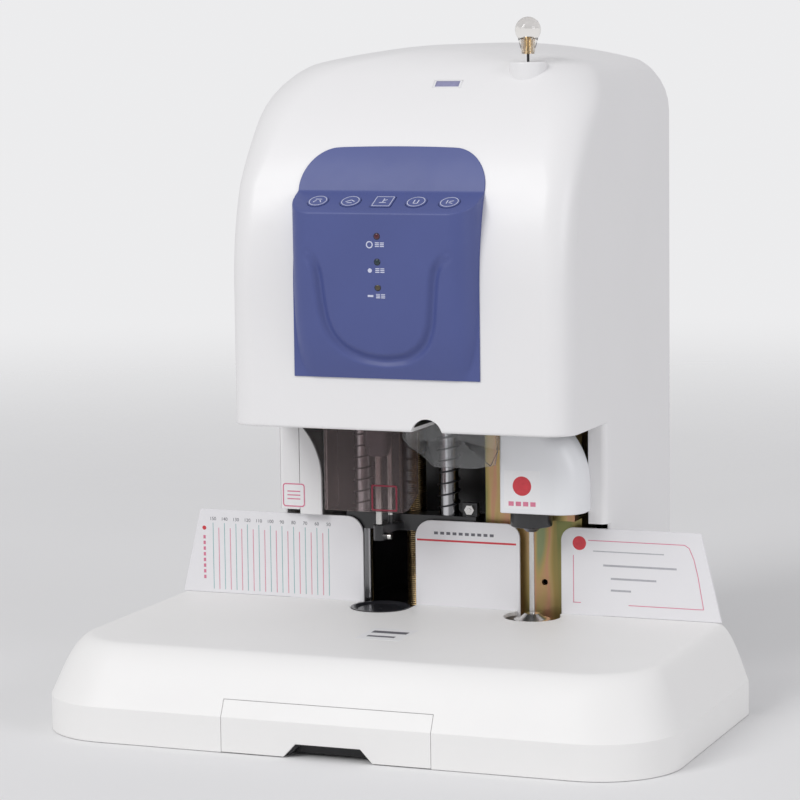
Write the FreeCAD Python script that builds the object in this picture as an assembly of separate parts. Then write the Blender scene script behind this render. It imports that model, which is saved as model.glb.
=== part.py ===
import FreeCAD, Part
import math
import os

V = FreeCAD.Vector
os.makedirs("parts", exist_ok=True)

# ---------------------------------------------------------------- driving sizes, mm
# X runs to the operator's right, -Y is the operator's side, Z is up from the desk.
TABLE_Z = 69.0          # paper table above the desk
TRAY_HW = 243.5         # half width of the tray
TRAY_FRONT = -197.0
TRAY_REAR = 40.5
TRAY_R = 61.0           # plan radius of the two front corners
RIM_Z = 0.4             # lower edge of the covers above the desk
LEAN_Z = 26.3           # height where the tray's skirt starts to lean in
LEAN = 33.8             # how far the front edge of the table lies behind the skirt
REAR_Y = 197.0
SHELL = 3.0             # moulded cover wall

BODY_HW = 135.5         # half width of column and head
COL_FRONT = 30.5        # front face of the neck
NECK_BOT = 141.0
HEAD_BOT = 218.5
HEAD_TOP = 502.5
CROWN = 0.00116         # crown of the head: z = HEAD_TOP - CROWN * x * x
SHOULDER_R = 45.0
SHOULDER_Z = HEAD_TOP - 54.7                        # where the shoulders start to round
HEAD_EDGE_R = 21.0      # vertical front corners of the head
HEAD_FRONT = -61.0
HEAD_RADII = (200.6, 88.8, 254.0)                   # arcs of the head's front, from its foot to its top

GUIDE_Y = 38.5          # front face of the paper guide
GUIDE_T = 2.0
GUIDE_TOP = 136.3
GUIDE_HW_BOT = 223.0
GUIDE_HW_TOP = 207.5

DRILL_X, STATION_Y = -46.2, 21.6
RIVET_X = 78.5
POST_L, POST_R, POST_Y, POST_RAD = -70.2, 0.7, 51.0, 7.5
POST_NECK_R = 5.0       # shouldered end of a post in the top plate
SCREW_X, SCREW_Y, SCREW_RAD = -33.0, 68.0, 8.0
ROD_X, ROD_Y, ROD_RAD = -41.5, 33.5, 2.0            # rod that steers the presser
NUT_X, NUT_Y, NUT_Z = 20.5, 44.8, 145.0             # seat of the nut on the presser's lug
RAM_SCREW_X, RAM_SCREW_Y, RAM_SCREW_RAD = 101.0, 36.0, 4.0

TOP_PLATE_Z = HEAD_TOP - 104.5
TOP_PLATE_T = 6.0
MOTOR_Z = TOP_PLATE_Z + TOP_PLATE_T                 # seat of both lift motors
FRAME_Y = 140.0         # front of the back plate
PLATE_Z = 6.0           # top of the steel bottom plate
SHELF_Z = 60.0          # top of the steel shelf under the drill pad
ARM_Z = 57.0            # top of the rivet frame's arm

FIT = 0.05              # radial running clearance
GAP = 0.2               # clearance between seated covers
DRAWER_GAP = 0.3

KEY_PITCH, KEY_R = 26.0, 8.0
PANEL_X, PANEL_HW = -5.5, 2 * KEY_PITCH + 21.8
PANEL_BOT = HEAD_BOT + 39.5
LEDGE_Y, LEDGE_Z = HEAD_FRONT + 12, HEAD_TOP - 106.8
LEDGE_FRONT_Y, LEDGE_FRONT_Z = HEAD_FRONT - 16, HEAD_TOP - 120.5
SWELL, SWELL_RISE = 14.8, 27.0                      # foot of the panel sets back and swells out above it
ARCH_TOP, ARCH_R = HEAD_TOP - 74, 28.0
PANEL_WALL = 2.4
PANEL_LIP = 3.0         # how far the arch laps over the head cover
LED_Z = [LEDGE_FRONT_Z - drop for drop in (17.4, 36.2, 55.1)]
LENS_DEPTH = 5.0
BOARD_Y = HEAD_FRONT + 3.6         # front of the upright board behind the lamps
BOARD_T = 1.6
KEY_BOARD_LIFT = -9.0   # face of the key board, measured from the ledge

RAM_RAD, RAM_BOT, RAM_TOP = 16.0, 139.0, 232.0
TIP_Z, TIP_R = 134.6, 4.0
NOSE_L, NOSE_R, NOSE_FRONT, NOSE_BOT = 60.3, 123.0, 0.5, 151.0
NOSE_BEND_Z, NOSE_BEND_R = 171.0, 62.0              # its right edge bends in above this height
CHEEK_R, CHEEK_BOT, CHEEK_BEND_Z, CHEEK_BEND_R = -98.3, 137.4, 166.0, 60.0
GUARD_L, GUARD_R, GUARD_Y = -79.0, -14.4, -11.5
DRAWER_X, DRAWER_HW, DRAWER_TOP = -2.2, 80.6, 38.0
SEAM_X = 18.8 - BODY_HW                             # joint between the neck's side strip and its cheek
INLET_TOP, INLET_R = HEAD_TOP - 13.2, 14.0          # boss of the tube inlet
KNOB_R, KNOB_Z = 9.7, HEAD_TOP + 10.6               # ball of the clear knob
FERRULE_Z = HEAD_TOP - 7.2                          # lower end of the knob and its brass ferrule
REAR_SCREW_R = 1.6
REAR_SCREWS = [(side * (BODY_HW - 11.5), z) for side in (-1, 1)
               for z in (TABLE_Z + 15, 200, 320, HEAD_TOP - 72.5)]


# ---------------------------------------------------------------- helpers
def save(name, shape):
    shape.exportStep("parts/%s.step" % name)


def box(x0, x1, y0, y1, z0, z1):
    return Part.makeBox(x1 - x0, y1 - y0, z1 - z0, V(x0, y0, z0))


def cyl(x, y, z0, z1, r):
    return Part.makeCylinder(r, z1 - z0, V(x, y, z0))


def cyl_y(x, z, y0, y1, r):
    return Part.makeCylinder(r, y1 - y0, V(x, y0, z), V(0, 1, 0))


def cyl_x(y, z, x0, x1, r):
    return Part.makeCylinder(r, x1 - x0, V(x0, y, z), V(1, 0, 0))


def cone(x, y, z0, z1, r0, r1):
    return Part.makeCone(r0, r1, z1 - z0, V(x, y, z0))


def tube(x, y, z0, z1, ro, ri):
    return cyl(x, y, z0, z1, ro).cut(cyl(x, y, z0 - 1, z1 + 1, ri))


def join(shapes):
    first, rest = shapes[0], shapes[1:]
    return first.fuse(rest).removeSplitter() if rest else first


def group(shapes):
    return Part.Compound(shapes)


def prism(points, along):
    """Closed outline through the points, pushed along a vector."""
    corners = [V(*p) for p in points]
    return Part.Face(Part.makePolygon(corners + corners[:1])).extrude(along)


def prism_y(points, y0, y1):
    return prism([(x, y0, z) for x, z in points], V(0, y1 - y0, 0))


def prism_x(points, x0, x1):
    return prism([(x0, y, z) for y, z in points], V(x1 - x0, 0, 0))


def prism_z(points, z0, z1):
    return prism([(x, y, z0) for x, y in points], V(0, 0, z1 - z0))


def plan_wire(x0, x1, y0, y1, z, rf, rr):
    """Closed outline in plan with front corner radius rf and rear corner radius rr (0 is square)."""
    c = math.sqrt(0.5)
    pts = [V(x0 + rf, y0, z), V(x1 - rf, y0, z), V(x1, y0 + rf, z), V(x1, y1 - rr, z),
           V(x1 - rr, y1, z), V(x0 + rr, y1, z), V(x0, y1 - rr, z), V(x0, y0 + rf, z)]
    mid = [V(x1 - rf + rf * c, y0 + rf - rf * c, z), V(x1 - rr + rr * c, y1 - rr + rr * c, z),
           V(x0 + rr - rr * c, y1 - rr + rr * c, z), V(x0 + rf - rf * c, y0 + rf - rf * c, z)]
    edges = []
    for i, radius in enumerate((rf, rr, rr, rf)):
        a, b, d = pts[2 * i], pts[2 * i + 1], pts[(2 * i + 2) % 8]
        edges.append(Part.LineSegment(a, b).toShape())
        if radius > 0:
            edges.append(Part.Arc(b, mid[i], d).toShape())
    return Part.Wire(edges)


def plan_prism(x0, x1, y0, y1, z0, z1, rf, rr):
    return Part.Face(plan_wire(x0, x1, y0, y1, z0, rf, rr)).extrude(V(0, 0, z1 - z0))


def hex_y(x, z, y0, y1, across):
    r = across / math.sqrt(3.0)
    return prism_y(bend(x, z, r, 0, 300, 5), y0, y1)


def bend(cx, cz, r, first, last, steps):
    """Points along an arc between two angles in degrees."""
    turn = [math.radians(first + (last - first) * k / steps) for k in range(steps + 1)]
    return [(cx + r * math.cos(a), cz + r * math.sin(a)) for a in turn]


def coil(x, y, z0, z1, mean_r, wire, turns):
    """Open compression spring of square wire between two levels."""
    height = z1 - z0 - wire
    helix = Part.makeHelix(height / turns, height, mean_r)
    h = wire / 2.0
    corners = [V(mean_r + sx * h, 0, sz * h) for sx, sz in ((-1, -1), (1, -1), (1, 1), (-1, 1), (-1, -1))]
    solid = Part.Wire(helix).makePipeShell([Part.makePolygon(corners)], True, True)
    solid.translate(V(x, y, z0 + h))
    return solid


# ---------------------------------------------------------------- outer forms
def tray_lean(z):
    """Set-back of the tray's front at a height: upright skirt, then a curve into the flat table."""
    share = max(0.0, (z - LEAN_Z) / (TABLE_Z - LEAN_Z))
    return LEAN * (1 - (1 - share ** 0.86) ** 0.487)


def tray_form(inset, drop):
    """Rounded tray body; its sides lean three quarters as much as its front."""
    steps = 7
    levels = [RIM_Z] + [TABLE_Z - (TABLE_Z - LEAN_Z) * (1 - k / steps) ** 2 for k in range(steps + 1)]
    wires = []
    for z in levels:
        front = tray_lean(z)
        side = 0.75 * front
        hw = TRAY_HW - side - inset
        wires.append(plan_wire(-hw, hw, TRAY_FRONT + front + inset, TRAY_REAR - inset, z - drop,
                               TRAY_R - 0.6 * side - inset, 0))
    return Part.makeLoft(wires, True, True)


def head_profile():
    """Front of the head as (height, y): arcs that run into each other, ending level at the top."""
    points = []
    steps = 8
    z, y, start = 0.0, HEAD_FRONT, 0.0
    for radius, slope in zip(HEAD_RADII, (50.5, 80.3, 90.0)):
        end = math.radians(slope)
        for k in range(steps):
            a = start + (end - start) * k / steps
            rise = z + radius * (math.sin(a) - math.sin(start))
            points.append((rise, y + radius * (math.cos(start) - math.cos(a))))
        z += radius * (math.sin(end) - math.sin(start))
        y += radius * (math.cos(start) - math.cos(end))
        start = end
    return [(HEAD_TOP - z + rise, front) for rise, front in points]


def head_width(z):
    """Half width of the head: upright sides, round shoulders, then the crown."""
    rise = max(0.0, z - SHOULDER_Z)
    shoulder = BODY_HW - SHOULDER_R + math.sqrt(max(0.0, SHOULDER_R ** 2 - rise ** 2))
    return min(shoulder, math.sqrt((HEAD_TOP - z) / CROWN))


def head_form(inset, every=1):
    """Head: upright front that sweeps back over the top, crowned across."""
    wires = []
    for z, front in [(HEAD_BOT, HEAD_FRONT)] + head_profile()[::every]:
        hw = head_width(z)
        r = min(HEAD_EDGE_R + 0.28 * max(0.0, z - HEAD_TOP + 102.5), 0.75 * hw)
        sink = inset * max(0.0, min(1.0, (z - HEAD_TOP + 82.5) / 60.0))
        wires.append(plan_wire(-hw + inset, hw - inset, front + inset, REAR_Y, z - sink,
                               max(r - inset, 2.0), 0))
    return Part.makeLoft(wires, True, True)


tray_outer = tray_form(0, 0)
tray_inner = tray_form(SHELL, SHELL).fuse(
    plan_prism(-TRAY_HW + SHELL, TRAY_HW - SHELL, TRAY_FRONT + SHELL, TRAY_REAR - SHELL,
               -3, 8, TRAY_R - SHELL, 0))
head_outer = head_form(0)
head_inner = head_form(SHELL, 2)


# ---------------------------------------------------------------- base
def base():
    shell = tray_outer.cut(tray_inner)
    # rear skirt under the column, carried on from the tray
    for side in (-1, 1):
        x0, x1 = sorted((side * (BODY_HW - SHELL), side * BODY_HW))
        shell = shell.fuse(box(x0, x1, TRAY_REAR - 2, REAR_Y, RIM_Z, TABLE_Z))
    shell = shell.fuse(box(-BODY_HW, BODY_HW, REAR_Y - SHELL, REAR_Y, RIM_Z, TABLE_Z))
    # passage for the two press frames through the back of the tray
    hw = BODY_HW - 5
    shell = shell.cut(box(-hw, hw, GUIDE_Y - GAP, TRAY_REAR + 1, -1, TABLE_Z + 1))
    shell = shell.cut(box(-hw, hw, TRAY_REAR - SHELL - 2, TRAY_REAR + 1, -1, TABLE_Z - SHELL))
    # table cut-outs at the two stations
    for x, radius, half in ((DRILL_X, 23.4, 23.4), (RIVET_X, 22.0, 18.0)):
        shell = shell.cut(cyl(x, STATION_Y, TABLE_Z - 20, TABLE_Z + 10, radius))
        shell = shell.cut(box(x - half, x + half, STATION_Y, GUIDE_Y + 3.5, TABLE_Z - 20, TABLE_Z + 10))
    # drawer opening
    mouth = DRAWER_HW + DRAWER_GAP
    shell = shell.cut(box(DRAWER_X - mouth, DRAWER_X + mouth, TRAY_FRONT - 5, TRAY_FRONT + 30,
                          -1, DRAWER_TOP + DRAWER_GAP))
    save("base_shell", shell)

    low = PLATE_Z - 3
    plate = plan_prism(-TRAY_HW + 5, TRAY_HW - 5, TRAY_FRONT + 5, TRAY_REAR - 5, low, PLATE_Z, TRAY_R - 5, 0)
    plate = plate.cut(box(DRAWER_X - DRAWER_HW - 4, DRAWER_X + DRAWER_HW + 4,
                          TRAY_FRONT - 5, TRAY_FRONT + 24, 0, 10))
    rear = box(-BODY_HW + 5, BODY_HW - 5, TRAY_REAR - 8, REAR_Y - 5, low, PLATE_Z)
    inner, back, rail_top = DRAWER_HW - 2.7, 8.0, 22.0
    rails = [box(DRAWER_X - inner - 2.7, DRAWER_X - inner, TRAY_FRONT + 30, back + 6, PLATE_Z - 1, rail_top),
             box(DRAWER_X + inner, DRAWER_X + inner + 2.7, TRAY_FRONT + 30, back + 6, PLATE_Z - 1, rail_top),
             box(DRAWER_X - inner - 1, DRAWER_X + inner + 1, back + 0.3, back + 3, PLATE_Z - 1, rail_top)]
    save("base_plate", join([plate, rear] + rails))
    feet_at = [(side * x, y) for side in (-1, 1)
               for x, y in ((TRAY_HW - 48.5, TRAY_FRONT + 67), (TRAY_HW - 48.5, TRAY_REAR - 30.5),
                            (BODY_HW - 25.5, REAR_Y - 32))]
    save("rubber_feet", group([cone(x, y, 0, low, 11.0, 13.0) for x, y in feet_at]))


base()


# ---------------------------------------------------------------- scrap drawer
def drawer():
    left, right = DRAWER_X - DRAWER_HW, DRAWER_X + DRAWER_HW
    slab = box(left, right, TRAY_FRONT - 5, TRAY_FRONT + 20, RIM_Z + 0.4, DRAWER_TOP)
    front = slab.common(tray_outer).cut(tray_inner)
    notch_foot, notch_head, notch_z = 35.0, 25.0, 10.5
    notch = prism_y([(-notch_foot, 0), (notch_foot, 0), (notch_head, notch_z), (-notch_head, notch_z)],
                    TRAY_FRONT - 6, TRAY_FRONT + 12)
    save("drawer_front", front.cut(notch))
    y0, y1, top, wall = TRAY_FRONT + SHELL + GAP, 8.0, 34.0, 1.5
    left, right, low = left + 3, right - 3, PLATE_Z + GAP
    tray = box(left, right, y0 + 14, y1, low, top).cut(
        box(left + wall, right - wall, y0 + 14 + wall, y1 - wall, low + wall, top + 1))
    for x in (left + 6, right - 18):
        tray = tray.fuse(box(x, x + 12, y0, y0 + 14.5, 8, 16.5))
    save("drawer_tray", tray.removeSplitter())


drawer()


# ---------------------------------------------------------------- paper guide
def guide_notch(x, hw, r, z0):
    """Slot with flared, rounded mouth."""
    top = GUIDE_TOP
    cut = box(x - hw, x + hw, GUIDE_Y - 1, GUIDE_Y + GUIDE_T + 1, z0, top + 5)
    for side in (-1, 1):
        edge = x + side * hw
        x0, x1 = sorted((edge, edge + side * r))
        corner = box(x0, x1, GUIDE_Y - 1, GUIDE_Y + GUIDE_T + 1, top - r, top + 5)
        cut = cut.fuse(corner.cut(cyl_y(edge + side * r, top - r, GUIDE_Y - 2, GUIDE_Y + 5, r)))
    return cut


def paper_guide():
    upper = [(-GUIDE_HW_BOT, TABLE_Z + 0.1), (GUIDE_HW_BOT, TABLE_Z + 0.1),
             (GUIDE_HW_TOP, GUIDE_TOP), (-GUIDE_HW_TOP, GUIDE_TOP)]
    plate = prism_y(upper, GUIDE_Y, GUIDE_Y + GUIDE_T)
    hw, low = BODY_HW - 5.5, SHELF_Z - 14
    plate = plate.fuse(box(-hw, hw, GUIDE_Y, GUIDE_Y + GUIDE_T, PLATE_Z, TABLE_Z + 1))
    plate = plate.cut(guide_notch(DRILL_X + 1.2, 22.0, 13.5, low))
    plate = plate.cut(guide_notch(RIVET_X + 1.0, 16.8, 10.5, low))
    # room for the steel arms that reach under the table
    plate = plate.cut(box(-93, 27, GUIDE_Y - 1, GUIDE_Y + 4, low, SHELF_Z + 2))
    plate = plate.cut(box(48, 110, GUIDE_Y - 1, GUIDE_Y + 4, low, SHELF_Z))
    save("paper_guide", plate.removeSplitter())


paper_guide()


# ---------------------------------------------------------------- covers
def screw_holes():
    return group([cyl_y(x, z, REAR_Y - 8, REAR_Y + 1, REAR_SCREW_R) for x, z in REAR_SCREWS])


def head_cover():
    hw = BODY_HW
    wall = SHELL
    neck = plan_prism(-hw, hw, COL_FRONT, REAR_Y, NECK_BOT, HEAD_BOT + 2, 5, 0)
    leg = plan_prism(-hw, hw, TRAY_REAR + 1.5, REAR_Y, TABLE_Z + 0.1, NECK_BOT + 1, 3, 0)
    # low round boss on the sloping top, where the nylon tube goes in
    boss = cyl(RIVET_X, STATION_Y, INLET_TOP - 16, INLET_TOP, INLET_R)
    outer = head_outer.fuse([neck, leg, boss])
    hollow_neck = plan_prism(-hw + wall, hw - wall, COL_FRONT + wall, REAR_Y + 5, SHELF_Z, HEAD_BOT + 5,
                             2.5, 0)
    hollow_head = head_inner.common(box(-hw, hw, HEAD_FRONT - 9, REAR_Y + 13, HEAD_BOT + wall, HEAD_TOP + 10))
    cover = outer.cut(hollow_neck).cut(hollow_head)
    # working opening in the underside of the head and the front of the neck
    back, top = COL_FRONT + wall + 1, HEAD_BOT + wall
    cover = cover.cut(box(17.5 - hw, hw - 11.5, GUARD_Y - GAP, back, HEAD_BOT - 1, top + 1))
    cover = cover.cut(box(SEAM_X - GAP, hw - 14.5, COL_FRONT - 1, back, SHELF_Z, top))
    cover = cover.cut(box(-hw + wall, hw - wall, TRAY_REAR - 1, TRAY_REAR + 9, SHELF_Z, NECK_BOT))
    # thumb notch in the lower front lip
    cover = cover.cut(cyl_y(25.4, HEAD_BOT - 2.5, HEAD_FRONT - 9, HEAD_FRONT + 11, 12.5))
    # panel window and tube inlet seat
    cover = cover.cut(panel_outline(-PANEL_LIP, -70, 20))
    cover = cover.cut(cyl(RIVET_X, STATION_Y, INLET_TOP - 20, HEAD_TOP, 9.1))
    # strips that the rear panel screws on to
    for side in (-1, 1):
        x0, x1 = sorted((side * (hw - 17), side * (hw - wall + 0.5)))
        cover = cover.fuse(box(x0, x1, REAR_Y - 7.0, REAR_Y - 4.0, TABLE_Z + wall, HEAD_TOP - 62.5))
    return cover.cut(screw_holes())


def panel_outline(grow, y0, y1):
    """Upright prism with the panel's outline: square foot, rounded arch on top."""
    x0, x1 = PANEL_X - PANEL_HW - grow, PANEL_X + PANEL_HW + grow
    z0, z1, r = PANEL_BOT - grow, ARCH_TOP + grow, ARCH_R + grow
    m = r - r * math.sqrt(0.5)
    wire = Part.Wire([Part.LineSegment(V(x0, y0, z0), V(x1, y0, z0)).toShape(),
                      Part.LineSegment(V(x1, y0, z0), V(x1, y0, z1 - r)).toShape(),
                      Part.Arc(V(x1, y0, z1 - r), V(x1 - m, y0, z1 - m), V(x1 - r, y0, z1)).toShape(),
                      Part.LineSegment(V(x1 - r, y0, z1), V(x0 + r, y0, z1)).toShape(),
                      Part.Arc(V(x0 + r, y0, z1), V(x0 + m, y0, z1 - m), V(x0, y0, z1 - r)).toShape(),
                      Part.LineSegment(V(x0, y0, z1 - r), V(x0, y0, z0)).toShape()])
    return Part.Face(wire).extrude(V(0, y1 - y0, 0))


save("head_cover", head_cover())


def panel_front(z):
    """Front of the swollen panel at a height."""
    return LEDGE_FRONT_Y - 0.3 + SWELL * math.exp(-(z - PANEL_BOT) / SWELL_RISE)


def bulge(inset):
    """Swollen lower part of the panel; its top is the sloping key ledge."""
    steps = 7
    back = LEDGE_Y + 19
    tall = LEDGE_FRONT_Z + 16 - PANEL_BOT
    wires = []
    for k in range(steps + 1):
        z = PANEL_BOT + tall * (k / steps) ** 1.6
        front = panel_front(z)
        hw = PANEL_HW - inset
        foot = inset if k == 0 else 0
        r = min(20.0, back - front - inset - 14) - inset
        wires.append(plan_wire(PANEL_X - hw, PANEL_X + hw, front + inset, back, z + foot, max(r, 1.5), 0))
    form = Part.makeLoft(wires, True, True)
    n = ledge_normal()
    slope = n.y / n.z
    rear, ahead = LEDGE_Y + 40 - n.y * inset, LEDGE_FRONT_Y - 30 - n.y * inset
    at_rear = LEDGE_Z - 40 * slope - n.z * inset
    at_front = LEDGE_FRONT_Z + 30 * slope - n.z * inset
    above = [(rear, at_rear), (ahead, at_front), (ahead, HEAD_TOP), (rear, HEAD_TOP)]
    return form.cut(prism_x(above, -BODY_HW, BODY_HW))


def ledge_normal():
    """Outward direction of the key ledge."""
    dy, dz = LEDGE_FRONT_Y - LEDGE_Y, LEDGE_FRONT_Z - LEDGE_Z
    n = math.hypot(dy, dz)
    return V(0, dz / n, -dy / n)


def ledge_point(k, lift):
    """Point over the middle of the key ledge: key index k counted from the centre, height off it."""
    y, z = 0.5 * (LEDGE_Y + LEDGE_FRONT_Y), 0.5 * (LEDGE_Z + LEDGE_FRONT_Z)
    return V(PANEL_X + KEY_PITCH * k, y, z) + ledge_normal() * lift


def ledge_slab(hw, depth, low, high):
    """Block on the ledge about the middle key: half width, half depth along the slope, two levels."""
    n = ledge_normal()
    along = V(0, n.z, -n.y)
    c = ledge_point(0, low)
    pts = [c + V(sx * hw, 0, 0) + along * (sy * depth) for sx, sy in ((-1, -1), (1, -1), (1, 1), (-1, 1))]
    return prism(pts, n * (high - low))


def control_panel():
    wall, clear = PANEL_WALL, PANEL_LIP + GAP
    skin = head_outer.cut(head_form(wall)).common(panel_outline(-clear, -70, 20))
    hollow = bulge(wall)
    swell = bulge(0).cut(hollow)
    rim = swell.cut(head_form(-GAP)).fuse(swell.common(panel_outline(-clear, -66, 20)))
    panel = skin.cut(hollow).fuse(rim)
    arch = panel_outline(0, -80, 20).common(head_form(-1.0).cut(head_outer)).common(
        box(-BODY_HW, BODY_HW, -100, 60, LEDGE_Z - 3, HEAD_TOP))
    panel = panel.fuse(arch)
    n = ledge_normal()
    for k in range(-2, 3):
        if k == 0:
            tool = ledge_slab(KEY_R + 0.1, KEY_R + 0.1, -12, 8)
        else:
            tool = Part.makeCylinder(KEY_R + 0.1, 20, ledge_point(k, -12), n)
        panel = panel.cut(tool)
    for z in LED_Z:
        panel = panel.cut(cyl_y(PANEL_X, z, -90, -60, 2.2))
    # bosses that carry the upright board and the key board
    for side in (-1, 1):
        for z in (PANEL_BOT + 24, LEDGE_FRONT_Z - 20):
            x = PANEL_X + side * (PANEL_HW - 19.8)
            panel = panel.fuse(cyl_y(x, z, panel_front(z) + 1.4, BOARD_Y, 3.0))
        foot = ledge_point(0, KEY_BOARD_LIFT) + V(side * (PANEL_HW - 9.8), 0, 0)
        panel = panel.fuse(Part.makeCylinder(2.0, -KEY_BOARD_LIFT - 1.5, foot, n))
    return panel


save("control_panel", control_panel())


# ---------------------------------------------------------------- keys, lamps and boards
def keys():
    n = ledge_normal()
    low, high = -3.0, 0.7
    for k in range(-2, 3):
        if k == 0:
            cap = ledge_slab(KEY_R, KEY_R, low, high)
        else:
            cap = Part.makeCylinder(KEY_R + 0.1 - FIT, high - low, ledge_point(k, low), n)
        stem = Part.makeCylinder(2.5, 5.2, ledge_point(k, low - 5), n)
        save("key_%d" % (k + 3), join([cap, stem]))


keys()


def control_board():
    lenses = []
    posts = []
    for z in LED_Z:
        y = panel_front(z)
        lenses.append(join([cyl_y(PANEL_X, z, y - 0.4, y + LENS_DEPTH, 2.15),
                            cyl_y(PANEL_X, z, y + 3.0, y + LENS_DEPTH, 2.9)]))
        posts.append(cyl_y(PANEL_X, z, y + LENS_DEPTH + 0.1, BOARD_Y, 1.4))
    save("lamp_lenses", group(lenses))
    # main board upright behind the lamps, key board parallel to the ledge
    back = BOARD_Y + BOARD_T
    low, high = PANEL_BOT + 14, LEDGE_FRONT_Z - 12
    hw = PANEL_HW - 13.8
    board = box(PANEL_X - hw, PANEL_X + hw, BOARD_Y, back, low, high)
    chips = [box(PANEL_X - 40, PANEL_X - 22, back, back + 4.3, low + 28, low + 46),
             box(PANEL_X + 15, PANEL_X + 40, back, back + 8.8, low + 13, low + 28),
             cyl_y(PANEL_X + 30, high - 30, back, back + 11.8, 6),
             cyl_y(PANEL_X - 30, high - 30, back, back + 9.8, 4)]
    key_board = ledge_slab(PANEL_HW - 7.8, 10.5, KEY_BOARD_LIFT - BOARD_T, KEY_BOARD_LIFT)
    save("control_boards", group([join([board] + posts + chips), key_board]))


control_board()


# ---------------------------------------------------------------- neck pieces
def neck_cheek():
    cx = CHEEK_R - CHEEK_BEND_R
    reach = math.degrees(math.acos((SEAM_X + 2 - cx) / CHEEK_BEND_R))
    pts = [(SEAM_X, CHEEK_BOT), (CHEEK_R, CHEEK_BOT)]
    pts += bend(cx, CHEEK_BEND_Z, CHEEK_BEND_R, 0, reach, 6) + [(SEAM_X, HEAD_BOT - 1)]
    save("neck_cheek", prism_y(pts, COL_FRONT, COL_FRONT + SHELL))


neck_cheek()


def nose_wire(inset, z, z_at):
    """Open-backed outline of the nose: small left corner, large right corner, square rear corners."""
    rise = max(0.0, z_at - NOSE_BEND_Z)
    edge = NOSE_R - NOSE_BEND_R + math.sqrt(NOSE_BEND_R ** 2 - rise ** 2)
    x0, x1 = NOSE_L + 0.75 * inset, edge - inset
    y0, y1 = NOSE_FRONT + inset, COL_FRONT - 0.1 + 0.5 * inset
    r_left, r_right = 2.0 - 0.5 * inset, 20.0 - inset
    c = math.sqrt(0.5)
    pts = [V(x0 + r_left, y0, z), V(x1 - r_right, y0, z), V(x1, y0 + r_right, z), V(x1, y1, z),
           V(x0, y1, z), V(x0, y0 + r_left, z)]
    m_right = V(x1 - r_right + r_right * c, y0 + r_right - r_right * c, z)
    m_left = V(x0 + r_left - r_left * c, y0 + r_left - r_left * c, z)
    edges = [Part.LineSegment(pts[0], pts[1]).toShape(), Part.Arc(pts[1], m_right, pts[2]).toShape(),
             Part.LineSegment(pts[2], pts[3]).toShape(), Part.LineSegment(pts[3], pts[4]).toShape(),
             Part.LineSegment(pts[4], pts[5]).toShape(), Part.Arc(pts[5], m_left, pts[0]).toShape()]
    return Part.Wire(edges)


def nose():
    top = HEAD_BOT - 0.3
    levels = [NOSE_BOT] + [NOSE_BEND_Z + (top - NOSE_BEND_Z) * k / 6 for k in range(7)]
    outer = Part.makeLoft([nose_wire(0, z, z) for z in levels], True, True)
    cut_at = [NOSE_BOT - 1] + levels[1:-1] + [top + 1.3]
    inner = Part.makeLoft([nose_wire(2.0, z, at) for z, at in zip(cut_at, levels)], True, True)
    save("nose_cover", outer.cut(inner))


nose()


def faceted_sheet(corners, faces, thick):
    """Thin sheet of flat triangles, each pushed back by the same thickness."""
    return join([prism([corners[k] for k in face], V(0, thick, 0)) for face in faces])


def guards():
    low, high, t = 149.0, HEAD_BOT + 7.5, 2.0
    outer = plan_prism(GUARD_L, GUARD_R, GUARD_Y, 22, low, high, 3.0, 1.0)
    inner = plan_prism(GUARD_L + t, GUARD_R - t, GUARD_Y + t, 30, low - 1, high + 1, 1.2, 0.5)
    save("smoked_guard", outer.cut(inner).cut(box(GUARD_L - 1, GUARD_R + 1, 15.5, 40, low - 1, high + 1)))
    # clear chip deflector: an upright strip that folds forward into a scoop
    left, right, top, t = GUARD_R + 1.0, NOSE_L - GAP, HEAD_BOT + 5.5, 1.8
    corners = [(left, -11, top), (left, -11, 206.8), (-8, -11, 200.2), (2.1, -11, 194.5), (10.6, -8, 185.2),
               (44.0, -8, 185.1), (56.4, -9, 187.6), (59.3, -7, 188.2), (right, -2, 199), (right, -2, top),
               (31.1, -3, 205.2), (31.1, -3, top), (4.0, -3, 203.8), (4.0, -3, top)]
    faces = [(0, 1, 12), (0, 12, 13), (1, 2, 12), (2, 3, 12), (3, 4, 12), (4, 5, 12), (12, 5, 10), (10, 5, 6),
             (10, 6, 8), (6, 7, 8), (10, 8, 9), (10, 9, 11), (12, 10, 11), (12, 11, 13)]
    sheet = faceted_sheet(corners, faces, t)
    flanges = [box(left, left + t, -11, 2, 206.8, top), box(right - t, right, -2, 12, 199, top)]
    save("clear_deflector", join([sheet] + flanges))


guards()


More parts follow.
